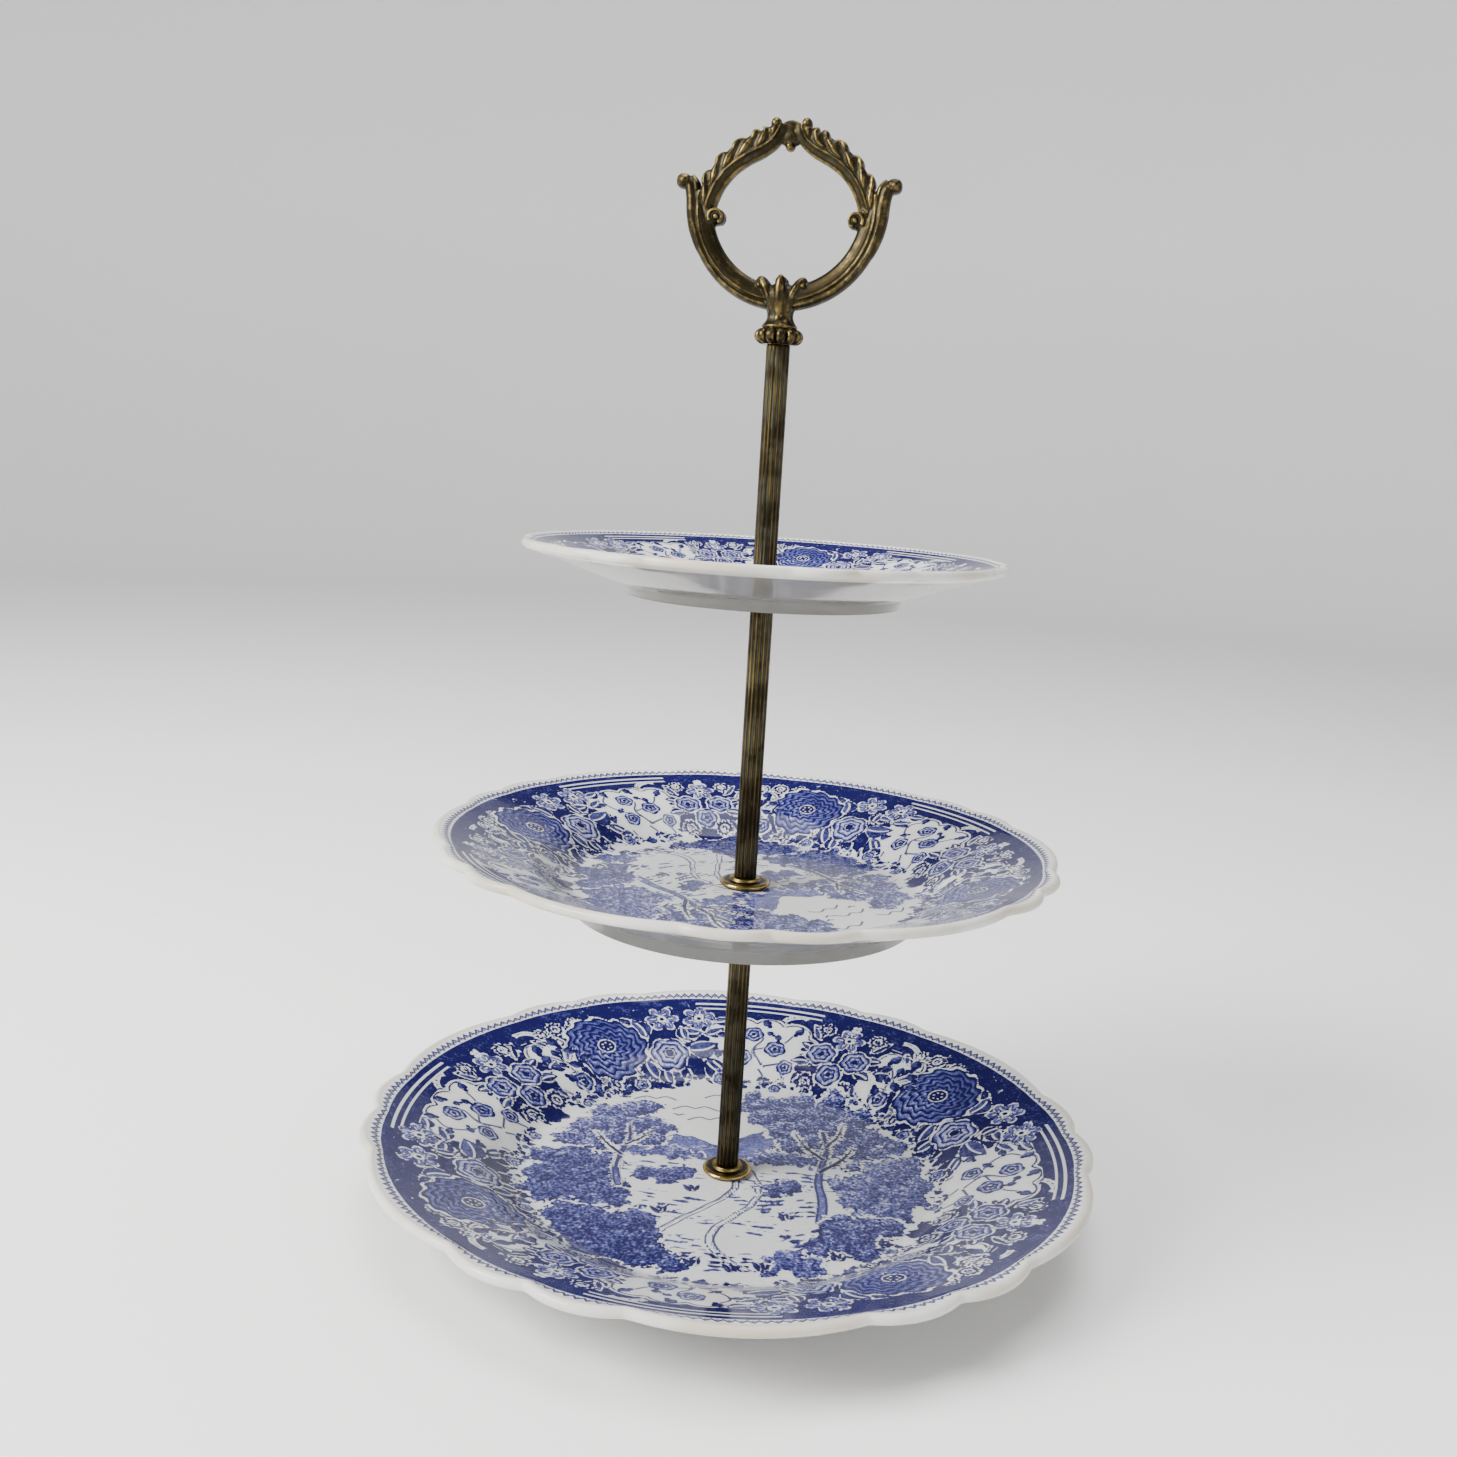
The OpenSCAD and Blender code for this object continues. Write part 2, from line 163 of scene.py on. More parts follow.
class Finish:
    """A node material written in short calls. A number or a socket may be given wherever a value goes."""

    def __init__(self, name):
        self.material = bpy.data.materials.new(name)
        self.material.use_nodes = True
        self.tree = self.material.node_tree
        self.tree.nodes.clear()
        self.shader = self.tree.nodes.new("ShaderNodeBsdfPrincipled")
        out = self.tree.nodes.new("ShaderNodeOutputMaterial")
        self.tree.links.new(self.shader.outputs[0], out.inputs[0])

    def put(self, socket, value):
        if isinstance(value, bpy.types.NodeSocket):
            self.tree.links.new(value, socket)
        else:
            socket.default_value = value

    def set(self, **values):
        for key, value in values.items():
            self.put(self.shader.inputs[key.replace("_", " ")], value)

    def math(self, operation, *values, clamp=False):
        node = self.tree.nodes.new("ShaderNodeMath")
        node.operation = operation
        node.use_clamp = clamp
        for socket, value in zip(node.inputs, values):
            self.put(socket, value)
        return node.outputs[0]

    def step(self, low, high, value):
        """0 below low and 1 above high, smooth between."""
        node = self.tree.nodes.new("ShaderNodeMapRange")
        node.interpolation_type = "SMOOTHSTEP"
        self.put(node.inputs["Value"], value)
        self.put(node.inputs["From Min"], low)
        self.put(node.inputs["From Max"], high)
        return node.outputs[0]

    def mix(self, share, a, b):
        node = self.tree.nodes.new("ShaderNodeMix")
        node.data_type = "RGBA"
        self.put(node.inputs["Factor"], share)
        self.put(node.inputs[6], a)
        self.put(node.inputs[7], b)
        return node.outputs[2]

    def blend(self, share, a, b):
        """Number between a and b."""
        node = self.tree.nodes.new("ShaderNodeMix")
        node.data_type = "FLOAT"
        self.put(node.inputs[0], share)
        self.put(node.inputs[2], a)
        self.put(node.inputs[3], b)
        return node.outputs[0]

    def ramp(self, value, stops, interpolation="LINEAR"):
        node = self.tree.nodes.new("ShaderNodeValToRGB")
        node.color_ramp.interpolation = interpolation
        elements = node.color_ramp.elements
        while len(elements) < len(stops):
            elements.new(0.5)
        for element, (position, colour) in zip(elements, stops):
            element.position = position
            shade = (colour,) * 3 if isinstance(colour, (int, float)) else colour
            element.color = (*shade, 1.0)
        self.put(node.inputs[0], value)
        return node.outputs[0]

    def place_vector(self, scale=(1, 1, 1)):
        coords = self.tree.nodes.new("ShaderNodeTexCoord")
        node = self.tree.nodes.new("ShaderNodeMapping")
        self.tree.links.new(coords.outputs["Object"], node.inputs[0])
        node.inputs["Scale"].default_value = scale
        return node.outputs[0]

    def noise(self, scale, detail=3.0, roughness=0.55, stretch=(1, 1, 1)):
        """Noise of about 1/scale metres a lump, on object coordinates."""
        node = self.tree.nodes.new("ShaderNodeTexNoise")
        self.tree.links.new(self.place_vector(stretch), node.inputs["Vector"])
        node.inputs["Scale"].default_value = scale
        node.inputs["Detail"].default_value = detail
        node.inputs["Roughness"].default_value = roughness
        return node.outputs[0]

    def dabs(self, scale, high, low):
        """Scattered leaf-like dabs on object coordinates: 1 at a dab's middle, 0 between them."""
        node = self.tree.nodes.new("ShaderNodeTexVoronoi")
        self.tree.links.new(self.place_vector((1, 1, 0.3)), node.inputs["Vector"])
        node.inputs["Scale"].default_value = scale
        node.inputs["Detail"].default_value = 1.0
        node.inputs["Roughness"].default_value = 0.4
        return self.step(high, low, node.outputs["Distance"])

    def attribute(self, name):
        node = self.tree.nodes.new("ShaderNodeAttribute")
        node.attribute_name = name
        return node.outputs["Fac"]

    def bump(self, height, distance, strength=1.0, under=None):
        node = self.tree.nodes.new("ShaderNodeBump")
        node.inputs["Strength"].default_value = strength
        node.inputs["Distance"].default_value = distance
        self.put(node.inputs["Height"], height)
        if under is not None:
            self.put(node.inputs["Normal"], under)
        return node.outputs[0]


# ---------------------------------------------------------------- the blue print

class Print:
    """The engraved print, held as a few numbers at every point of a plate, all in print millimetres.

    ink     signed distance to the nearest edge of printed colour, positive inside the colour
    tone    depth of the colour, 0 palest to 1 darkest
    rough   how ragged the ink's edge is, for leaves and grass
    bands   petal count inward from a flower's edge, 0 outside flowers
    line    signed distance to the nearest fine line, and shown, 1 where that line is printed
    """

    def __init__(self, x, y):
        self.x, self.y = x, y
        self.r = np.hypot(x, y)
        count = len(x)
        self.ink = np.full(count, -6.0)
        self.tone = np.zeros(count)
        self.rough = np.zeros(count)
        self.bands = np.zeros(count)
        self.line = np.full(count, 6.0)
        self.shown = np.zeros(count)

    def near(self, x, y, reach, facing=90.0):
        """Points within reach of (x, y), and their coordinates there with v along facing degrees."""
        pick = np.flatnonzero((np.abs(self.x - x) < reach) & (np.abs(self.y - y) < reach))
        u, v = turned(self.x[pick] - x, self.y[pick] - y, 90.0 - facing)
        return pick, u, v

    def lay(self, pick, inside, tone, halo=0.7, rough=0.0, bands=0.0):
        """Prints a shape over what is there, with a white halo round it."""
        old = self.ink[pick]
        fresh = np.maximum(inside, np.minimum(old, -inside - halo))
        over = inside > -halo * 0.5
        self.ink[pick] = fresh
        self.tone[pick] = np.where(over, tone, self.tone[pick])
        self.rough[pick] = np.where(over, rough, self.rough[pick])
        self.bands[pick] = np.where(over, np.maximum(bands, 0), self.bands[pick])
        self.shown[pick] = np.where(over, 0, self.shown[pick])

    def wash(self, pick, inside, tone, rough=0.0):
        """Adds colour with no halo: what was printed stays under its edge."""
        over = inside > 0
        self.ink[pick] = np.maximum(self.ink[pick], inside)
        self.tone[pick] = np.where(over, tone, self.tone[pick])
        self.rough[pick] = np.where(over, rough, self.rough[pick])
        self.bands[pick] = np.where(over, 0, self.bands[pick])

    def clear(self, pick, inside):
        """Leaves a shape white."""
        self.ink[pick] = np.minimum(self.ink[pick], -inside)
        self.shown[pick] = np.where(inside > 0, 0, self.shown[pick])

    def rule(self, pick, distance, keep, reach=0.9):
        """A fine line where distance crosses zero, printed where keep is true."""
        far, free = np.abs(distance), self.shown[pick] < 0.5
        here = keep & (far < 2.2) & (far < np.abs(self.line[pick]) + 9 * free)
        self.line[pick] = np.where(here, distance, self.line[pick])
        self.shown[pick] = np.where(here, np.where(far < reach, 1.0, 0.0), self.shown[pick])

    def stem(self, points):
        """A fine line along a smooth curve through a few points: each vertex keeps its distance from
        the nearest straight bit of the curve, positive to its left."""
        path = spline(np.array(points, float), 6)
        low, high = path.min(0) - 2.5, path.max(0) + 2.5
        pick = np.flatnonzero((self.x > low[0]) & (self.x < high[0]) & (self.y > low[1]) & (self.y < high[1]))
        start, step = path[:-1], path[1:] - path[:-1]
        length = np.hypot(step[:, 0], step[:, 1])
        dx = self.x[pick][:, None] - start[None, :, 0]
        dy = self.y[pick][:, None] - start[None, :, 1]
        along = (dx * step[:, 0] + dy * step[:, 1]) / length ** 2
        held = np.clip(along, 0, 1)
        far = np.hypot(dx - held * step[:, 0], dy - held * step[:, 1])
        side = np.sign(step[:, 0] * dy - step[:, 1] * dx)
        best = far.argmin(1)
        rows = np.arange(len(pick))
        distance = far[rows, best] * np.where(side[rows, best] < 0, -1, 1)
        nearest = along[rows, best]
        past = (best == 0) & (nearest < 0) | (best == len(step) - 1) & (nearest > 1)
        self.rule(pick, distance, ~past)


def spline(points, cuts):
    """Catmull-Rom curve through the points, with cuts steps between two of them."""
    padded = np.vstack([2 * points[0] - points[1], points, 2 * points[-1] - points[-2]])
    a, b, c, d = padded[:-3], padded[1:-2], padded[2:-1], padded[3:]
    t = (np.arange(cuts) / cuts)[None, :, None]
    a, b, c, d = (p[:, None, :] for p in (a, b, c, d))
    square, cube = 2 * a - 5 * b + 4 * c - d, 3 * b - a - 3 * c + d
    curve = 0.5 * (2 * b + (c - a) * t + square * t ** 2 + cube * t ** 3)
    return np.vstack([curve.reshape(-1, points.shape[1]), points[-1:]])


def at(r, angle):
    """Point of the border at radius r and an angle in degrees."""
    return r * math.cos(math.radians(angle)), r * math.sin(math.radians(angle))


def leaf(p, x, y, facing, length, width, tone=0.78, bend=0.0, halo=0.6, vein=True):
    """Leaf from its foot at (x, y): a bent lens whose half width is a sine of the way along it, dark on
    one side of the midrib and paler on the other."""
    pick, u, v = p.near(x, y, length * 1.1, facing)
    u = u - bend * np.sin(np.clip(v / length, 0, 1) * math.pi) * length
    way = np.clip(v / length, 0, 1)
    half = width * np.sin(math.pi * way ** 0.8) ** 0.9
    inside = np.minimum(half - np.abs(u), np.minimum(v, length - v) * 0.7)
    shade = np.where(u > 0, tone, tone * 0.72)
    p.lay(pick, inside, shade, halo)
    if vein and width > 1.5:
        p.rule(pick, u, (inside > 0.25) & (way < 0.85), 0.8)


def peony(p, x, y, radius, facing, rings=6.0, lobes=12):
    """Great round flower: petal rings counted inward from a scalloped edge, whose scallops slip round
    from ring to ring, and a seeded heart."""
    pick, u, v = p.near(x, y, radius * 1.3, facing)
    rho, phi = np.hypot(u, v), np.arctan2(v, u)
    depth = (1 - rho / radius) * rings
    scallop = 0.30 * np.cos(lobes * phi + 1.9 * depth) * smooth(0.05, 0.3, rho / radius)
    count = depth + scallop + 0.22 * np.cos(3 * phi + 1.0)
    inside = count * radius / rings
    side = 0.12 * np.cos(phi - 0.8)
    p.lay(pick, inside, 0.78 + side, 0.8, 0.04, count)
    heart = radius * 0.20 - rho
    p.lay(pick, heart, 0.92, 0.6)
    for k in range(6):
        seed_u, seed_v = 0.11 * radius * math.cos(k * 1.05), 0.11 * radius * math.sin(k * 1.05)
        p.clear(pick, 0.52 - np.hypot(u - seed_u, v - seed_v))


def rose(p, x, y, radius, facing, petals=5, rings=3.0, tone=0.5):
    """Small open flower: a few rounded petals round a dark eye."""
    pick, u, v = p.near(x, y, radius * 1.35, facing)
    rho, phi = np.hypot(u, v), np.arctan2(v, u)
    edge = radius * (0.86 + 0.16 * np.abs(np.cos(petals * phi / 2)))
    count = (1 - rho / edge) * rings + 0.18 * np.cos(petals * phi + 2.0)
    p.lay(pick, edge - rho, tone, 0.6, 0.05, np.maximum(count, 0.02))
    p.lay(pick, radius * 0.22 - rho, 0.95, 0.35)


def daffodil(p, x, y, radius, facing):
    """Six pointed petals, each with a fold down its middle, round a dark trumpet."""
    pick, u, v = p.near(x, y, radius * 1.4, facing)
    rho, phi = np.hypot(u, v), np.arctan2(v, u)
    wave = np.abs(np.cos(3 * phi))
    edge = radius * (0.50 + 0.55 * wave ** 0.8)
    fold = np.abs(np.sin(3 * phi)) * rho
    half = np.sin(3 * phi)
    shade = 0.30 + 0.45 * smooth(0.9, 0.2, rho / edge) + 0.10 * np.sign(half)
    p.lay(pick, (edge - rho) * 0.8, shade, 0.6)
    p.rule(pick, np.where(half > 0, fold, -fold) / 3, (rho > radius * 0.42) & (edge - rho > 0.8), 0.5)
    p.lay(pick, radius * 0.40 * (1 + 0.10 * np.cos(9 * phi)) - rho, 0.95, 0.45)
    ring = radius * 0.055 - np.abs(rho - radius * 0.24)
    p.clear(pick, ring + 0.15)


def daisy(p, x, y, radius, facing, teeth=14, tone=0.85):
    """Round toothed flower head with a white ring round its eye."""
    pick, u, v = p.near(x, y, radius * 1.3, facing)
    rho, phi = np.hypot(u, v), np.arctan2(v, u)
    edge = radius * (1 + 0.13 * np.cos(teeth * phi))
    p.lay(pick, edge - rho, tone, 0.6, 0.1)
    p.clear(pick, 0.30 - np.abs(rho - radius * 0.50))
    p.clear(pick, radius * 0.12 - rho)


def bud(p, x, y, facing, size, tone=0.8):
    """Pointed bud on a little calyx."""
    leaf(p, x, y, facing, size * 1.6, size * 0.62, tone, 0.0, 0.4, False)
    pick, u, v = p.near(x, y, size)
    p.lay(pick, size * 0.34 - np.hypot(u, v), 0.95, 0.1)


def cloud(p, circles, rule=1.25):
    """White panel with a cloud edge: a union of circles, with a fine white line round it in the band."""
    cx, cy = np.mean([c[0] for c in circles]), np.mean([c[1] for c in circles])
    spread = max(math.hypot(c[0] - cx, c[1] - cy) + c[2] for c in circles) + 3
    pick = p.near(cx, cy, spread)[0]
    px, py = p.x[pick], p.y[pick]
    inside = np.max([c[2] - np.hypot(px - c[0], py - c[1]) for c in circles], axis=0)
    p.clear(pick, inside)
    outward = (p.r[pick] > 100) & (p.r[pick] < 111.5) & (inside < 0)
    p.rule(pick, -inside - rule, outward, 0.8)


def sprig(p, r, angle, lean, size, kind):
    """Little flowering twig on the white ground, growing outwards from (r, angle)."""
    x, y = at(r, angle)
    facing = angle + lean
    tip = (x + size * math.cos(math.radians(facing)), y + size * math.sin(math.radians(facing)))
    bow = turned(size * 0.25, 0, facing + 90)
    middle = ((x + tip[0]) / 2 + bow[0], (y + tip[1]) / 2 + bow[1])
    p.stem([(x, y), middle, tip])
    leaf(p, *middle, facing + 55, size * 0.42, size * 0.13, 0.8, 0.06, 0.4, False)
    leaf(p, *middle, facing - 60, size * 0.42, size * 0.13, 0.7, -0.06, 0.4, False)
    if kind == "rose":
        rose(p, *tip, size * 0.34, facing, 5, 2.0, 0.55)
    elif kind == "bud":
        bud(p, *tip, facing, size * 0.28)
    else:
        leaf(p, *tip, facing, size * 0.5, size * 0.15, 0.82, 0.0, 0.4, False)


def border_ground(p, base):
    """Grounds of one quarter of the flower border, clockwise from the great flower at base degrees: leafy
    blue behind the flowers and the posy, then the cloud-edged white panels on either side."""
    def place_at(r, turn):
        return at(r, base + turn)

    foliage(p, [(*place_at(r, a), s) for r, a, s in (
        (103, 10, 13), (104, -3, 15), (102, -14, 14), (105, -22, 11), (90, -3, 16), (89, -14, 13),
        (87, 8, 11), (86, -23, 9), (94, -23, 9), (95, 13, 10), (79, -3, 6), (79, -12, 6), (79, 6, 5))],
        1.10, 200 + int(base), 0.22, 0.4, 0.0)
    foliage(p, [(*place_at(r, a), s) for r, a, s in (
        (84, -56, 8), (84, -64, 8), (79, -60, 7), (94, -60, 14), (101, -67, 8), (101, -53, 8),
        (104, -60, 12))],
        1.12, 300 + int(base), 0.20, 0.4, 0.0)
    foliage(p, [(*place_at(r, a), s) for r, a, s in (
        (78, -28, 3.4), (77, -36, 3), (78, -45, 3.4), (78, -72, 3.4), (77, -80, 3), (76, 3, 3.6),
        (77, -8, 3.4), (76, -16, 3))], 1.0, 400 + int(base), 0.7, 1.0, 0.0)
    cloud(p, [(*place_at(r, a), s) for r, a, s in (
        (99, -30.5, 7), (103.5, -35, 6.0), (104, -41, 6.2), (102.5, -47, 6.2), (95, -50, 7.0), (93, -43, 12),
        (92, -35, 9), (85, -44, 7), (84, -36, 7))])
    cloud(p, [(*place_at(r, a), s) for r, a, s in (
        (101.5, -72.5, 4.6), (103, -77.5, 4.8), (96, -75.5, 7.4), (90, -75.5, 5.8), (85, -73, 4.5))])
    for side in (-1, 1):
        for gap in (0.0, 1.5):
            arc = 7.5 + gap
            cx, cy = place_at(106.5, -60 + side * 12.5)
            pick, u, v = p.near(cx, cy, 12, base - 60)
            rho, phi = np.hypot(u, v), np.arctan2(v, u * -side)
            p.rule(pick, rho - arc, (phi > 0.3) & (phi < 1.7) & (p.r[pick] < 116.4), 0.7)


def border_flowers(p, base):
    """Flowers, leaves and twigs of one quarter of the border, from the back forwards."""
    def place_at(r, turn):
        return at(r, base + turn)

    # dark leaves that fill between the flowers, from the back forwards
    for r, turn, lean, length, width, tone in (
            (103, 9, 150, 12, 3.0, 0.80), (108, 3, 100, 9, 2.4, 0.85), (104, -9, 60, 10, 2.6, 0.82),
            (99, -11, 20, 10, 3.0, 0.72), (86, -8, 205, 9, 2.6, 0.80), (90, -21, -75, 12, 3.4, 0.70),
            (85, -25, -120, 11, 3.2, 0.86), (95, -20, -20, 9, 2.6, 0.85), (101, -20, -95, 8, 2.2, 0.80),
            (84, 3, 185, 7, 2.0, 0.85), (88, 12, 150, 8, 2.2, 0.84), (104, 12, 60, 8, 2.3, 0.82),
            (96, 15, 120, 7, 2.0, 0.78), (82, -13, 190, 7, 2.2, 0.85), (107, -28, -70, 7, 2.0, 0.84),
            (99, -26, -60, 8, 2.2, 0.80)):
        leaf(p, *place_at(r, turn), base + turn + lean, length * 1.12, width * 1.3, tone, 0.12)
    for r, turn, size in ((112, 9, 3.4), (109.5, 5.5, 3.2), (113, 4, 2.9), (107, 12.5, 3.0), (111, 13, 2.6)):
        daisy(p, *place_at(r, turn), size, base + turn, 10, 0.82)
    rose(p, *place_at(89, -15.5), 8.2, base - 15, 6, 3.2, 0.42)
    daffodil(p, *place_at(109, -16.0), 6.4, base - 16)
    daffodil(p, *place_at(109, -24.5), 6.4, base - 4)
    leaf(p, *place_at(103.5, -20), base - 20 + 190, 8, 2.4, 0.85, 0.1)
    rose(p, *place_at(83, 12.5), 4.2, base, 5, 2.2, 0.55)
    peony(p, *place_at(97, 0), 16.6, base + 20)

    # twigs, roses and buds of the large white panel
    p.stem([place_at(84, -41), place_at(92, -38), place_at(99, -40), place_at(105, -37)])
    p.stem([place_at(88, -39), place_at(94, -33), place_at(101, -31), place_at(106, -33)])
    p.stem([place_at(92, -38.5), place_at(97, -45), place_at(103, -47)])
    p.stem([place_at(84, -41), place_at(88, -48), place_at(94, -51)])
    for r, turn, size in ((101, -37.5, 4.6), (93.5, -43.5, 4.8), (87.5, -35.5, 4.0), (85, -47.5, 3.6)):
        rose(p, *place_at(r, turn), size, base + turn * 3, 5, 2.4, 0.55)
    for r, turn, lean, size in (
            (105.5, -33.5, 20, 3.0), (106.5, -41, 40, 3.2), (103.5, -47.5, -30, 3.2), (96, -50.5, -70, 3.2),
            (99.5, -31.0, 90, 2.8), (94.5, -34.5, 130, 2.8), (90, -52, -100, 3.0), (98.5, -43.8, 10, 2.6),
            (89.5, -30, 120, 2.8), (101.5, -42.3, 60, 2.4)):
        bud(p, *place_at(r, turn), base + turn + lean, size)

    # buds of the small white panel
    p.stem([place_at(88, -77), place_at(95, -76), place_at(101, -73)])
    p.stem([place_at(92, -77), place_at(98, -80), place_at(103, -79)])
    for r, turn, lean, size in (
            (101.5, -72.5, -20, 3.8), (103, -78.5, 20, 3.8), (96.5, -71.5, -60, 3.6), (98, -81.5, 70, 3.4),
            (92.5, -72.5, -110, 3.4), (90, -80, 60, 3.4), (94, -84, 100, 3.0), (97.5, -76.5, 10, 3.0),
            (87.5, -74, -140, 3.0), (91, -76.2, 30, 2.6)):
        bud(p, *place_at(r, turn), base + turn + lean, size)

    # a posy between the panels: a daffodil over three roses, with leaves and daisies round them
    for side in (-1, 1):
        for r, lean, length in ((104, 40, 9), (97, 75, 8), (90, 110, 8), (84, 150, 7)):
            leaf(p, *place_at(r, -60 + side * 6.5), base - 60 + side * lean, length, 2.3, 0.8, 0.1 * side)
        daisy(p, *place_at(110.5, -60 + side * 6.0), 3.3, base, 10, 0.84)
        rose(p, *place_at(95.5, -60 + side * 4.6), 6.3, base - 60 + side * 30, 6, 2.6, 0.48)
        daisy(p, *place_at(80.5, -60 + side * 5.6), 3.8, base, 12, 0.86)
    daffodil(p, *place_at(106.5, -60), 6.0, base - 52)
    rose(p, *place_at(86, -60), 5.4, base - 60, 5, 2.4, 0.52)
    for k in range(4):
        cross = base - 60
        spot = turned(1.35, 0, 45 + 90 * k + cross)
        mid = place_at(114, -60)
        pick, u, v = p.near(mid[0] + spot[0], mid[1] + spot[1], 2.5)
        p.clear(pick, 0.95 - np.hypot(u, v))

    # twigs that hang into the white ring inside the border
    for r, turn, lean, size, kind in (
            (84, -4, 185, 8, "rose"), (82.5, 7, 170, 7, "leaf"), (85, -27, 200, 9, "rose"),
            (82, -33, 165, 7, "bud"), (83, -40, 190, 8, "leaf"), (82, -47, 175, 8, "rose"),
            (83, -70, 185, 8, "bud"), (82, -76, 165, 9, "rose"), (83, -83, 200, 7, "leaf"),
            (82, -53, 200, 6, "leaf"), (82, -20, 170, 7, "bud")):
        sprig(p, r, base + turn, lean, size, kind)


def border(p, start):
    """The blue band and its four quarters of flowers."""
    everywhere = np.arange(len(p.x))
    p.wash(everywhere, np.minimum(BAND_R[1] - p.r, p.r - BAND_R[0]), 0.86)
    angle = np.degrees(np.arctan2(p.y, p.x)) - start
    for quarter in range(4):
        border_ground(p, start + 90 * quarter)
    for quarter in range(4):
        border_flowers(p, start + 90 * quarter)
    # double white lines in the band over the great panels
    for quarter in range(4):
        turn = (angle - 90 * quarter + 180) % 360 - 180
        over = (turn > -52) & (turn < -24)
        p.rule(everywhere, p.r - 118.4, over, 0.6)
        p.rule(everywhere, p.r - 115.4, over, 0.6)


def foliage(p, circles, tone, seed, rough=1.0, grow=1.6, halo=0.8):
    """Leafy mass: a union of circles grown a little, whose edge wanders. Each lobe is pale towards its
    upper left and dark towards its lower right, and the glaze's noise cuts it into leaves."""
    cx, cy = np.mean([c[0] for c in circles]), np.mean([c[1] for c in circles])
    spread = max(math.hypot(c[0] - cx, c[1] - cy) + c[2] for c in circles) + 6
    pick = p.near(cx, cy, spread)[0]
    px, py = p.x[pick], p.y[pick]
    held = np.array([c[2] - np.hypot(px - c[0], py - c[1]) for c in circles])
    lobe = np.array(circles)[held.argmax(0)]
    lit = (0.86 * (py - lobe[:, 1]) - 0.5 * (px - lobe[:, 0])) / lobe[:, 2]
    inside = held.max(0) + grow + 1.5 * ripple(px, py, 8.0, seed) + 1.1 * ripple(px, py, 3.8, seed + 1)
    shade = 0.93 * tone - 0.17 * rough * np.clip(lit, -1.2, 1.2) + 0.12 * ripple(px, py, 6.0, seed + 3)
    p.lay(pick, inside, np.clip(shade, 0.05, 1), halo, rough * 0.5)


def limb(p, points, wide, narrow, tone=0.92):
    """Trunk or branch: a band along a smooth curve, tapering from wide to narrow, with drawn edges."""
    path = spline(np.array(points, float), 16)
    low, high = path.min(0) - wide - 1.5, path.max(0) + wide + 1.5
    pick = np.flatnonzero((p.x > low[0]) & (p.x < high[0]) & (p.y > low[1]) & (p.y < high[1]))
    far = np.hypot(p.x[pick][:, None] - path[None, :, 0], p.y[pick][:, None] - path[None, :, 1])
    width = wide + (narrow - wide) * np.linspace(0, 1, len(path))
    inside = (width[None, :] - far).max(1)
    p.lay(pick, inside, tone, 0.4, 0.0)
    if tone < 0.5:
        p.rule(pick, inside - 0.35, inside > -1.0, 1.0)


def strokes(p, x, y, half_w, half_h, tilt, pitch, tone, seed, share=0.5):
    """Patch of short hatch strokes: parallel lines a pitch apart, broken and thinned by a smooth wave."""
    pick, u, v = p.near(x, y, max(half_w, half_h) * 1.2, 90 + tilt)
    row = np.round(v / pitch)
    gap = np.abs(v - row * pitch + 0.22 * pitch * ripple(u, row * 31.0, 9.0, seed))
    breaks = ripple(u, row * 17.0, 8.0, seed + 1)
    fade = 1 - np.maximum(np.abs(u) / half_w, np.abs(v) / half_h) ** 2
    inside = pitch * 0.34 * np.clip(0.5 + share + breaks, 0, 1) * np.clip(fade * 1.8, 0, 1) - gap - 0.05
    p.wash(pick, inside, tone)


def hills(p, crest, base, tone, seed):
    """Pale wash under a crest line, fading downwards, with a drawn edge."""
    crest = np.array(crest, float)
    pick = np.flatnonzero((p.x > crest[0, 0]) & (p.x < crest[-1, 0]) & (np.abs(p.y - base) < 45))
    px, py = p.x[pick], p.y[pick]
    top = np.interp(px, crest[:, 0], crest[:, 1]) + 0.5 * ripple(px, px * 0, 6.0, seed)
    inside = np.minimum(top - py, (py - base) * 0.6 + 1.2 * ripple(px, py, 8.0, seed + 1))
    ends = np.minimum(px - crest[0, 0], crest[-1, 0] - px)
    p.wash(pick, np.minimum(inside, ends), tone * (0.6 + 0.4 * smooth(14, 0, top - py)))
    p.rule(pick, py - top, (np.abs(py - top) < 2) & (ends > 1), 0.8)


def river(p, source, mouth):
    """River that winds once from source to mouth, two heights in the print: its middle swings as the sine
    of the way down over 13 mm, by 4 mm far off and 16 mm in front, and it widens from 2 to 13 mm."""
    pick = np.flatnonzero((p.y < source) & (p.y > mouth) & (np.abs(p.x) < 40))

    def middle_at(down):
        """Middle of the water, across the print, a way down from the source."""
        return 12 * np.sin(down / 13) * (0.35 + down / 80)

    def half_at(down):
        """Half its width there."""
        return 2 + 0.14 * down

    down = source - p.y[pick]
    middle = middle_at(down)
    half = half_at(down) + 0.5 * ripple(p.y[pick], down * 0, 7.0, 15)
    bank = half - np.abs(p.x[pick] - middle)
    p.clear(pick, bank)
    p.rule(pick, bank, down > 1, 0.9)
    p.rule(pick, bank - 1.6 - 0.02 * down, down > 20, 0.5)
    for down in (10, 22, 35, 49, 64):
        strokes(p, middle_at(down), source - down, 0.8 * half_at(down), 5, 2, 2.2, 0.42, 200 + down, 0.1)


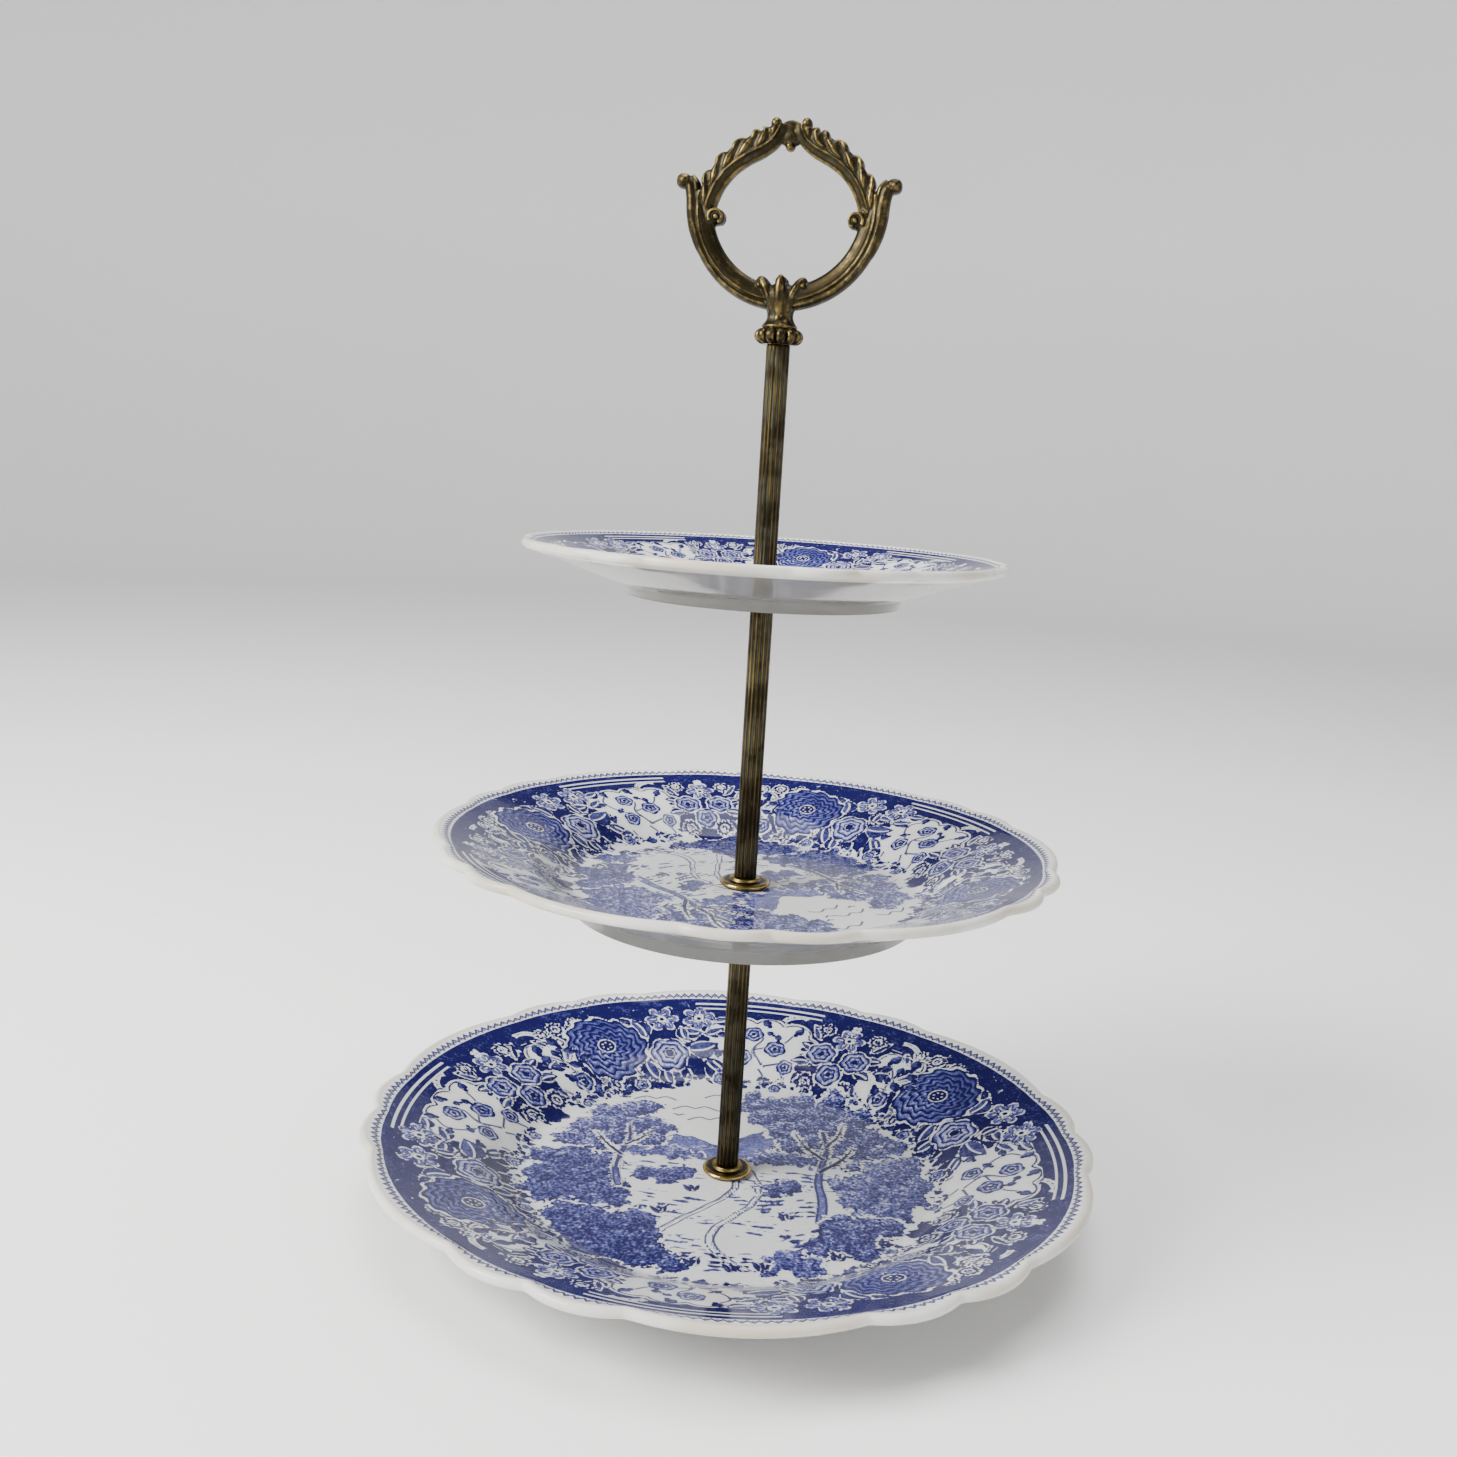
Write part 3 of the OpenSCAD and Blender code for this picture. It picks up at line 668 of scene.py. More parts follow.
def landscape(p):
    """Generic country scene in the well, of no real place: a river winds down from hills between a tree on
    the left bank and an oak on the right one, with bushes and rough ground along both."""
    hills(p, [(-40, 15), (-30, 19), (-20, 27), (-12, 24), (-4, 19), (6, 15)], 8, 0.34, 11)
    hills(p, [(-12, 14), (-2, 20), (8, 30), (15, 35), (22, 29), (32, 21), (42, 15)], 8, 0.46, 13)
    strokes(p, -24, -2, 18, 8, 4, 2.7, 0.45, 21, 0.05)
    strokes(p, 26, -4, 16, 8, -5, 2.7, 0.50, 23, 0.0)
    strokes(p, -20, -26, 15, 9, -8, 2.8, 0.60, 25, 0.15)
    strokes(p, 22, -24, 14, 8, 10, 2.8, 0.60, 27, 0.15)
    river(p, 14, -66)
    for x, top in ((-14, 50), (-30, 57), (-2, 62), (-8, 41)):
        p.stem([(x - 9, top - 2), (x - 4, top + 1.5), (x, top), (x + 4, top + 2), (x + 9, top - 1)])
    for x, top in ((-20, 43), (0, 52), (-3, 48)):
        p.stem([(x - 2.4, top + 1.2), (x - 1, top + 1), (x, top), (x + 1, top + 1), (x + 2.4, top + 1.2)])

    # far trees along both banks
    foliage(p, [(-34, 13, 4.4), (-27, 14, 4), (-21, 12, 3.4), (-15, 11, 2.8)], 0.58, 31, 0.8)
    foliage(p, [(12, 11, 3), (18, 12, 3.8), (25, 13, 4.6), (33, 12, 4.4)], 0.62, 33, 0.8)
    foliage(p, [(-16, -3, 4), (-22, -6, 4.6), (-29, -5, 4)], 0.80, 35, 0.9)
    foliage(p, [(22, -9, 4), (17, -12, 3.6)], 0.86, 37, 0.9)

    # the left bank: a tree, bushes behind it and a thicket in front
    foliage(p, [(-38, 26, 8), (-46, 22, 7), (-30, 23, 6), (-34, 34, 7), (-44, 34, 8), (-53, 30, 6),
                (-40, 44, 7), (-51, 14, 6), (-27, 31, 5), (-49, 42, 5), (-33, 49, 4.5), (-58, 20, 6)],
            0.78, 41, 1.3)
    foliage(p, [(-56, 2, 9), (-63, -9, 8), (-50, -9, 9), (-43, -17, 8), (-58, -21, 9), (-67, 4, 5),
                (-50, -28, 9), (-39, -28, 7), (-45, 2, 6), (-66, -20, 5)], 0.90, 43, 1.1)
    limb(p, [(-38, -14), (-40, -2), (-39, 10), (-37, 20), (-38, 32)], 1.5, 0.6, 0.30)
    limb(p, [(-39, 8), (-45, 16), (-50, 25)], 0.8, 0.5)
    limb(p, [(-38, 16), (-33, 22), (-30, 28)], 0.7, 0.5)
    foliage(p, [(-45, -43, 11), (-35, -52, 10), (-31, -40, 8), (-54, -37, 7), (-25, -59, 7), (-43, -57, 6),
                (-27, -48, 6), (-16, -64, 4.5)], 0.94, 45, 1.1)

    # the right bank: an oak, bushes under it and a low clump in front
    foliage(p, [(36, 28, 9), (46, 24, 9), (26, 26, 7), (30, 40, 8), (42, 40, 9), (54, 34, 7), (20, 36, 6),
                (36, 52, 8), (24, 50, 7), (48, 50, 7), (14, 46, 6), (58, 20, 7), (28, 61, 6), (16, 58, 6),
                (40, 62, 5), (7, 54, 4.5), (50, 10, 6), (62, 28, 5), (8, 64, 4)], 0.80, 51, 1.3)
    foliage(p, [(60, 6, 9), (53, -5, 9), (63, -9, 8), (47, -15, 7), (57, -21, 8), (43, -4, 5), (68, -1, 5),
                (66, 14, 5), (50, -26, 5)], 0.66, 53, 1.0)
    limb(p, [(33, -32), (34, -18), (33, -4), (35, 10), (37, 22), (36, 36)], 2.0, 0.8, 0.30)
    limb(p, [(34, 4), (42, 14), (47, 24)], 1.0, 0.5)
    limb(p, [(35, 14), (29, 23), (25, 34)], 0.9, 0.5)
    limb(p, [(37, 24), (42, 34), (44, 44)], 0.8, 0.5)
    foliage(p, [(46, -38, 9), (38, -45, 8), (55, -33, 6), (30, -52, 6), (47, -48, 6), (39, -33, 5)],
            0.84, 55, 1.1)
    foliage(p, [(22, -57, 5), (28, -61, 5), (16, -62, 4)], 0.70, 57, 0.9)

    # rough ground, reeds and grass
    strokes(p, -2, -61, 14, 7, 3, 2.6, 0.70, 81, 0.25)
    strokes(p, 12, -40, 12, 6, -6, 2.6, 0.55, 83, 0.1)
    strokes(p, 30, -42, 12, 6, 30, 2.8, 0.70, 85, 0.2)
    for x, y, turn in ((-9, -65, 100), (3, -67, 90), (12, -65, 80), (36, -56, 60), (-22, -33, 100),
                       (20, -33, 75), (-12, -17, 95), (52, -45, 50)):
        for lean in (-28, 0, 28):
            leaf(p, x, y, turn + lean, 6.5, 1.1, 0.85, 0.05, 0.3, False)


def printed(x, y, turn):
    """The whole print at plate points given in print millimetres, turned by turn degrees."""
    u, v = turned(x, y, -turn)
    p = Print(u, v)
    border(p, 33.0)
    landscape(p)
    p.clear(np.arange(len(u)), p.r - BAND_R[1] - 0.1)
    return p


# ---------------------------------------------------------------- plates

class Plate:
    """Sizes of one plate in millimetres, standing on its CAD node's foot."""

    def __init__(self, tier, body, tip_r, rim_z, well_z, wall, foot_r, shoulder_r, scallop_turn, print_turn):
        self.node = tier + "_plate"
        self.body, self.tip_r, self.rim_z, self.well_z = body, tip_r, rim_z, well_z
        self.wall, self.foot_r, self.shoulder_r = wall, foot_r, shoulder_r
        self.scallop_turn, self.print_turn = scallop_turn, print_turn
        self.foot_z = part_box(self.node)[0][2] / MM

    def outline(self, angle):
        """Scalloped outline at angles in radians: the soft maximum, 0.35 mm wide, of one wide and two
        small circles in each of the sets. A circle with its centre c from the axis and radius q reaches
        c cos d + sqrt(q^2 - c^2 sin^2 d) at an angle d from its middle."""
        r = self.tip_r
        valley = r * (1 - SCALLOP_DEPTH)
        total = np.zeros(np.shape(angle))
        for middle, half in ((0, 30 * WIDE_SHARE), (30 - 15 * (1 - WIDE_SHARE), 15 * (1 - WIDE_SHARE)),
                             (30 + 15 * (1 - WIDE_SHARE), 15 * (1 - WIDE_SHARE))):
            c = (r * r - valley * valley) / (2 * (r - valley * math.cos(math.radians(half))))
            q = r - c
            for k in range(SCALLOP_SETS):
                turn = angle - math.radians(self.scallop_turn + 60 * k + middle)
                d = (turn + math.pi) % (2 * math.pi) - math.pi
                inside = q * q - (c * np.sin(d)) ** 2
                reach = np.where((inside > 0) & (np.abs(d) < 1), c * np.cos(d) + np.sqrt(np.abs(inside)), 0)
                total = total + np.exp((reach - r) / 0.35)
        return r + 0.35 * np.log(total)

    def upper(self, r):
        """Height of the upper side: flat well, S-curved shoulder, straight rim at RIM_SLOPE."""
        start, end = self.foot_r - 2.25, self.shoulder_r
        slope = math.tan(RIM_SLOPE)
        top = self.rim_z - (self.tip_r - end) * slope
        t = np.clip((r - start) / (end - start), 0, 1)
        rise = (top - self.well_z) * (3 * t ** 2 - 2 * t ** 3)
        curve = self.well_z + rise + (end - start) * slope * (t ** 3 - t ** 2)
        tail = top + (r - end) * (self.rim_z - top) / (self.tip_r - self.wall / 2 - end)
        return np.where(r > end, tail, curve)

    def under(self):
        """Underside from the rim inwards as (radius, height): the upper side lowered by the wall, then
        a tapered foot ring whose tread is narrow and rounded, then the flat recess."""
        outer = np.concatenate([
            np.linspace(self.tip_r - self.wall / 2, self.shoulder_r, 9)[1:],
            np.linspace(self.shoulder_r, self.foot_r + 0.9, 8)[1:]])
        rim = np.stack([outer, self.upper(outer) - self.wall], 1)
        base = self.well_z - self.wall
        foot = [(self.foot_r + step, height) for step, height in (
            (0.25, base + 0.25), (-0.15, base - 0.5), (-1.15, 0.55), (-1.45, 0.12), (-1.85, 0), (-2.65, 0),
            (-3.05, 0.12), (-3.35, 0.55), (-4.3, base - 0.5), (-4.7, base - 0.05), (-5.6, base))]
        inner = [(share * (self.foot_r - 6), base) for share in (0.8, 0.55, 0.3)]
        inner += [(4.9, base), (4.15, base)]
        return np.vstack([rim, foot, inner, [(4.0, base + 0.15)]])


def web(k):
    """Triangles between ring k, of 8k points, and ring k + 1, of 8k + 8 points, as numbers within them."""
    sector = np.arange(8)[:, None]
    near, far = np.arange(k + 1)[None, :], np.arange(k)[None, :]
    inner, outer = 8 * k, 8 * k + 8
    wide = np.stack([(sector * k + near) % inner, inner + sector * (k + 1) + near,
                     inner + (sector * (k + 1) + near + 1) % outer], -1)
    narrow = np.stack([sector * k + far, inner + sector * (k + 1) + far + 1,
                       (sector * k + far + 1) % inner], -1)
    return np.vstack([wide.reshape(-1, 3), narrow.reshape(-1, 3)])


def fan(coarse, factor, fine_start, coarse_start):
    """Triangles from a ring of coarse * factor points to a ring of coarse points inside and below it."""
    fine = coarse * factor
    j = np.arange(coarse)[:, None]
    i = np.arange(factor)[None, :]
    spokes = np.stack([fine_start + (j * factor + i) % fine + 0 * i, coarse_start + j + 0 * i,
                       fine_start + (j * factor + i + 1) % fine], -1).reshape(-1, 3)
    gaps = np.stack([fine_start + (j[:, 0] + 1) * factor % fine, coarse_start + j[:, 0],
                     coarse_start + (j[:, 0] + 1) % coarse], -1)
    return np.vstack([spokes, gaps])


def plate_piece(plate):
    """One plate. Its upper side is a web of rings, ring k with 8k points, so that every triangle is
    about as large as the next and the print stays sharp. Radii follow (r, theta) to
    (r s(r, theta) cos, r s sin, upper(r)), where s blends from 1 to the scalloped outline over the outer
    tenth of the plate. The rim turns over a half circle, and a coarser grid closes the underside."""
    scale = PRINT_R / plate.tip_r
    first, last = 6, 144
    k = np.arange(first, last + 1)
    edge = (plate.tip_r - plate.wall / 2) * scale
    stops = np.interp(k, [first, 9, 75, 133, last], [4 * scale, 9, 76, 122, edge]) / scale
    radii = np.repeat(stops, 8 * k)
    angles = np.concatenate([np.arange(8 * n) * 2 * math.pi / (8 * n) for n in k])
    heights = plate.upper(radii)
    heights = heights - 0.12 * smooth(5.2, 4.0, radii)
    arc = np.concatenate([[0], np.cumsum(np.hypot(np.diff(stops), np.diff(plate.upper(stops))))]) + 4
    reach = np.repeat(arc, 8 * k)

    starts = np.concatenate([[0], np.cumsum(8 * k)])
    faces = [web(n) + starts[i] for i, n in enumerate(k[:-1])]
    rim = 8 * last
    around = np.arange(rim) * 2 * math.pi / rim
    half = plate.wall / 2
    count = starts[-1]
    for tilt in (66, 40, 12, -18, -50, -90):
        edge_r = plate.tip_r - half + half * math.cos(math.radians(tilt))
        edge_z = plate.rim_z - half + half * math.sin(math.radians(tilt))
        radii = np.concatenate([radii, np.full(rim, edge_r)])
        heights = np.concatenate([heights, np.full(rim, edge_z)])
        angles = np.concatenate([angles, around])
        reach = np.concatenate([reach, np.full(rim, arc[-1] + half * math.radians(90 - tilt))])
        i = np.arange(rim)
        faces.append(np.stack([count - rim + i, count + i, count + (i + 1) % rim], -1))
        faces.append(np.stack([count - rim + i, count + (i + 1) % rim, count - rim + (i + 1) % rim], -1))
        count += rim
    top_faces = sum(len(f) for f in faces)
    top_points = count

    lower = plate.under()
    sides = rim // 4
    faces.append(fan(sides, 4, count - rim, count))
    radii = np.concatenate([radii, np.repeat(lower[:, 0], sides)])
    heights = np.concatenate([heights, np.repeat(lower[:, 1], sides)])
    angles = np.concatenate([angles, np.tile(np.arange(sides) * 2 * math.pi / sides, len(lower))])
    faces.append(tube_faces(len(lower), sides, count, flip=True))
    count += sides * len(lower)
    # hole wall, from the underside's last ring back to the web's first
    i = np.arange(8 * first)
    step = sides // (8 * first)
    faces.append(np.vstack([
        np.stack([count - sides + (i * step + m) % sides, i, count - sides + (i * step + m + 1) % sides], -1)
        for m in range(step)]))
    faces.append(np.stack([count - sides + (i + 1) * step % sides, i, (i + 1) % (8 * first)], -1))

    blend = smooth(0.925 * plate.tip_r, 0.99 * plate.tip_r, radii)
    spread = 1 + (plate.outline(angles) / plate.tip_r - 1) * blend
    x, y = radii * spread * np.cos(angles), radii * spread * np.sin(angles)
    points = np.stack([x, y, heights + plate.foot_z], 1) * MM
    piece = mesh_piece("printed_" + plate.node, points, faces)
    lay_flat(piece, angles, reach, radii, top_points, top_faces, arc[-1] + half * math.pi, plate)

    # the print is laid on the plate as if unscalloped, as a transfer stretches out over the rim
    flat_r = radii[:top_points] * scale
    p = printed(flat_r * np.cos(angles[:top_points]), flat_r * np.sin(angles[:top_points]), plate.print_turn)
    blank = count - top_points
    for name, values, rest in (("ink", p.ink, -6), ("tone", p.tone, 0), ("rough", p.rough, 0),
                               ("bands", p.bands, 0), ("line", p.line, 6), ("shown", p.shown, 0)):
        float_layer(piece, name, np.concatenate([values, np.full(blank, float(rest))]))
    float_layer(piece, "span", np.concatenate([flat_r, np.full(blank, BLANK_SPAN)]))
    return piece


def lay_flat(piece, angles, reach, radii, top_points, top_faces, furthest, plate):
    """UV map: the upper side as one disc, its radius the distance along the profile, and the underside
    as a small disc in the far corner."""
    top = 0.40 * np.concatenate([reach, np.zeros(len(angles) - top_points)]) / furthest
    low = 0.155 * radii / plate.tip_r
    spin = np.stack([np.cos(angles), np.sin(angles)], 1)
    corner = np.empty(len(piece.data.loops), np.int64)
    piece.data.loops.foreach_get("vertex_index", corner)
    sizes = np.empty(len(piece.data.polygons), np.int64)
    piece.data.polygons.foreach_get("loop_total", sizes)
    owner = np.repeat(np.arange(len(sizes)), sizes)
    uv = np.where((owner < top_faces)[:, None], 0.41 + top[corner, None] * spin[corner],
                  0.83 + low[corner, None] * spin[corner] * (1, -1))
    layer = piece.data.uv_layers.new(name="OFBake")
    layer.data.foreach_set("uv", uv.astype(np.float32).ravel())


CREAM_EDGE = (0.56, 0.54, 0.46, 1)
BARE_CLAY = (0.52, 0.46, 0.38, 1)
# painted shade: the grey laid over the plates' undersides
PAINTED_UNDERSIDE_SHADE = (0.085, 0.088, 0.085, 1)
DUST = (0.16, 0.15, 0.14, 1)


def glazed_finish(settings, plate):
    """Glossy off-white glaze over a cobalt print. The print's mask is its signed distance with a little
    noise, its colour a ramp from wash to deep cobalt; a flower's petals go from a dark foot to a pale
    lip by the fraction of the petal count. Fine lines are dark on the glaze and white on the colour.
    A zig-zag with dots runs outside the band, |fract(n angle) - 1/2| high."""
    f = Finish("glazed_print_" + plate.node)
    unit = plate.tip_r / PRINT_R
    ink, tone = f.attribute("ink"), f.attribute("tone")
    bands, line, shown = f.attribute("bands"), f.attribute("line"), f.attribute("shown")
    span = f.attribute("span")
    grain = f.noise(900 / unit, 3.0, 0.6)
    mottle = f.noise(260 / unit, 3.0, 0.6)
    cloudy = f.noise(38, 3.0, 0.5)
    rough = f.attribute("rough")
    ragged = f.math("MULTIPLY", f.math("SUBTRACT", mottle, 0.5), f.math("MULTIPLY_ADD", rough, 3.0, 0.4))
    dabs = f.dabs(430 / unit, 0.62, 0.30)
    flecks = f.math("MULTIPLY_ADD", dabs, 2.4, -1.0)
    flecks = f.math("MULTIPLY_ADD", f.math("SUBTRACT", grain, 0.5), 7.0, flecks)
    cut = f.math("MULTIPLY", rough, flecks)
    edge = f.math("ADD", f.math("ADD", ink, ragged), cut)
    mask = f.step(-0.14, 0.14, edge)

    # petals: dark at each petal's foot, pale towards the next
    part = f.math("FRACT", bands)
    petal = f.step(0.0, 0.75, part)
    flower = f.step(0.0, 0.05, bands)
    drawn = f.math("MULTIPLY", f.math("MULTIPLY_ADD", petal, -0.95, 0.50), f.math("SUBTRACT", 1.0, rough))
    leafy = f.math("MULTIPLY", f.math("MINIMUM", rough, 1.0), f.math("MULTIPLY_ADD", flecks, 0.42, -0.06))
    depth = f.math("ADD", f.math("ADD", tone, leafy), f.math("MULTIPLY", flower, drawn))
    hatch = f.math("MULTIPLY", f.math("SUBTRACT", grain, 0.5), 1.1)
    patch = f.math("MULTIPLY", f.math("SUBTRACT", mottle, 0.5), 0.9)
    rim_dark = f.math("MULTIPLY", f.step(0.9, 0.0, ink), 0.14)
    depth = f.math("ADD", f.math("ADD", depth, hatch), f.math("ADD", patch, rim_dark))
    pale, deep = tuple(settings.wash_colour), tuple(settings.ink_colour)
    middle = tuple(0.55 * b + 0.45 * a for a, b in zip(pale, deep))
    faint = tuple(0.5 * a + 0.5 * b for a, b in zip(pale, settings.glaze_colour))
    glaze = f.mix(cloudy, (*settings.glaze_colour, 1), (*(0.93 * c for c in settings.glaze_colour), 1))
    colour = f.ramp(depth, [(0.0, faint), (0.20, pale), (0.48, middle), (0.82, deep)])

    # fine lines, then the zig-zag, dots and hairlines round the border
    thread = f.math("MULTIPLY", f.step(0.58, 0.30, f.math("ABSOLUTE", line)), f.step(0.3, 0.7, shown))
    coords = f.tree.nodes.new("ShaderNodeTexCoord")
    axes = f.tree.nodes.new("ShaderNodeSeparateXYZ")
    f.tree.links.new(coords.outputs["Object"], axes.inputs[0])
    turn = f.math("MULTIPLY", f.math("ARCTAN2", axes.outputs[1], axes.outputs[0]), TEETH / (2 * math.pi))
    tooth = f.math("ABSOLUTE", f.math("SUBTRACT", f.math("FRACT", turn), 0.5))
    crest = f.math("MULTIPLY_ADD", tooth, 4.2, 122.6)
    zigzag = f.step(1.02, 0.62, f.math("ABSOLUTE", f.math("SUBTRACT", span, crest)))
    across = f.math("MULTIPLY", f.math("SUBTRACT", f.math("FRACT", f.math("ADD", turn, 0.5)), 0.5), 3.3)
    along = f.math("SUBTRACT", span, 123.1)
    off = f.math("SQRT", f.math("MULTIPLY_ADD", across, across, f.math("MULTIPLY", along, along)))
    dot = f.step(0.62, 0.38, off)
    ring = f.math("MAXIMUM", zigzag, dot)
    hair = f.step(0.30, 0.14, f.math("ABSOLUTE", f.math("SUBTRACT", span, 109.0)))
    on_band = f.math("MULTIPLY", hair, f.math("MULTIPLY", f.step(1.2, 1.8, ink), f.step(0.05, 0.0, bands)))
    on_band = f.math("MULTIPLY", on_band, f.step(107.0, 107.6, span))

    strong = f.math("MULTIPLY", mask, f.step(0.35, 0.5, tone))
    white = f.math("MAXIMUM", f.math("MULTIPLY", thread, strong), on_band)
    dark = f.math("MAXIMUM", f.math("MULTIPLY", thread, f.math("SUBTRACT", 1.0, strong)), ring)
    kept = f.math("SUBTRACT", 1.0, f.math("MULTIPLY", white, 0.82))
    base = f.mix(f.math("MULTIPLY", mask, kept), glaze, colour)
    drawn_ink = f.mix(f.math("MULTIPLY", mottle, 0.5), (*deep, 1), (*middle, 1))
    base = f.mix(f.math("MULTIPLY", dark, 0.94), base, drawn_ink)
    bleed = f.math("MULTIPLY", f.step(-2.6, 0.0, ink), 0.13)
    base = f.mix(f.math("MULTIPLY", bleed, f.math("SUBTRACT", 1.0, mask)), base, (*pale, 1))

    # honey-brown age on the turned edge and crazing stains, and the bare tread of the foot
    age = f.math("MULTIPLY", f.step(125.2, 128.6, span), f.step(0.36, 0.66, f.noise(26, 4.0, 0.6)))
    base = f.mix(f.math("MULTIPLY", age, 0.72), base, (*settings.age_colour, 1))
    base = f.mix(f.math("MULTIPLY", f.step(125.0, 127.0, span), 0.38), base, CREAM_EDGE)
    tread = f.step(plate.foot_z * MM + 0.0007, plate.foot_z * MM + 0.0002, axes.outputs[2])
    base = f.mix(f.math("MULTIPLY", tread, 0.85), base, BARE_CLAY)
    # painted shade: the underside's glaze is deliberately greyer than the rest, as if it stood in a darker
    # room
    under = f.math("MULTIPLY", f.step(BLANK_SPAN - 10, BLANK_SPAN - 1, span), 0.80)
    base = f.mix(under, base, PAINTED_UNDERSIDE_SHADE)
    f.set(Base_Color=base, Roughness=f.blend(tread, f.math("MULTIPLY_ADD", cloudy, 0.07, 0.06), 0.75))
    swell = f.bump(f.noise(70, 2.0, 0.4), 0.0005, 0.22)
    peel = f.bump(f.math("MULTIPLY_ADD", mask, 0.35, f.noise(700, 2.0, 0.5)), 0.00005, 0.35, swell)
    f.set(Normal=peel)
    f.shader.inputs["IOR"].default_value = 1.40
    f.shader.inputs["Specular IOR Level"].default_value = 0.32
    return f.material


# ---------------------------------------------------------------- brass

def sweep(path, section):
    """Closed bar in the plane of the ring. path is (n, 2) of x, z; section is (m, 2), or (n, m, 2), of
    distances along the path's left normal and along y. A point is path + a normal, b in y. Its ends are
    closed with fans."""
    path = np.asarray(path, float)
    step = np.gradient(path, axis=0)
    step = step / np.hypot(step[:, 0], step[:, 1])[:, None]
    normal = np.stack([-step[:, 1], step[:, 0]], 1)
    section = np.broadcast_to(section, (len(path),) + np.shape(section)[-2:])
    flat = path[:, None, :] + section[:, :, :1] * normal[:, None, :]
    points = np.stack([flat[..., 0], section[..., 1], flat[..., 1]], -1)
    sides = section.shape[1]
    ends = np.stack([points[0].mean(0), points[-1].mean(0)])
    count = points.shape[0] * sides
    return np.vstack([points.reshape(-1, 3), ends]), [tube_faces(len(path), sides), end_fans(sides, count)]


def globe(centre, radii, power=1.0, rows=14, sides=28):
    """Closed ball (rx c(a) c(b), ry c(a) s(b), rz s(a)), squared up when power is under 1."""
    a = np.linspace(-math.pi / 2, math.pi / 2, rows + 1)[1:-1, None]
    b = np.arange(sides)[None, :] * 2 * math.pi / sides

    def soft(value):
        return np.sign(value) * np.abs(value) ** power

    x, y = soft(np.cos(a)) * soft(np.cos(b)), soft(np.cos(a)) * soft(np.sin(b))
    z = soft(np.sin(a)) + 0 * b
    shell = np.stack([x, y, z], -1).reshape(-1, 3)
    points = np.vstack([shell, [[0, 0, -1], [0, 0, 1]]]) * radii + centre
    return points, [tube_faces(rows - 1, sides), end_fans(sides, len(shell))]


def lathe(heights, radii, sides, swell=None):
    """Closed turned solid: radius against height, times 1 + swell(height, angle) where that is given."""
    heights, radii = np.asarray(heights, float), np.asarray(radii, float)
    angle = np.arange(sides) * 2 * math.pi / sides
    r = radii[:, None] * np.ones(sides)
    if swell is not None:
        r = r * (1 + swell(heights[:, None], angle[None, :]))
    shell = round_points(r, angle, heights[:, None])
    points = np.vstack([shell, [[0, 0, heights[0]], [0, 0, heights[-1]]]])
    return points, [tube_faces(len(heights), sides), end_fans(sides, len(shell))]


def joined(parts):
    """One array of points and one list of faces from several closed solids."""
    start, points, faces = 0, [], []
    for part_points, part_faces in parts:
        points.append(part_points)
        faces.extend(group + start for group in part_faces)
        start += len(part_points)
    return np.vstack(points), faces


def mirrored(part):
    """The part on the other side of x = 0, its faces turned back the right way."""
    points, faces = part
    return points * (-1, 1, 1), [group[:, ::-1] for group in faces]


def ring_bar():
    """Lower ring of the handle: section a broad inner bevel, a fine ridge, a groove and a round outer
    band, carried round from one ear to the other. The inner side draws in where the volutes start."""
    angle = np.radians(np.linspace(171, 369, 220))
    path = np.stack([np.cos(angle), np.sin(angle)], 1) * RING_R
    across = np.array([-4.0, -3.7, -2.9, -1.6, -0.4, 0.25, 0.55, 0.85, 1.25, 1.6, 2.2, 2.9, 3.5, 3.9])
    depth = np.array([0.5, 1.5, 2.35, 2.95, 3.25, 3.2, 3.62, 3.55, 2.75, 2.9, 3.25, 2.9, 1.9, 0.6])
    front = np.stack([-across, depth], 1)
    back = np.stack([-across, -depth], 1)[::-1]
    section = np.broadcast_to(np.vstack([front, back]), (len(path), 2 * len(across), 2)).copy()
    fade = smooth(8, 17, np.degrees(np.abs(np.abs(angle - 1.5 * math.pi) - math.radians(99))))[:, None]
    inward = section[:, :, 0]
    section[:, :, 0] = np.where(inward > 0, inward * (0.35 + 0.65 * fade), inward)
    section[:, :, 1] *= 0.86 + 0.14 * fade
    return sweep(path, section)


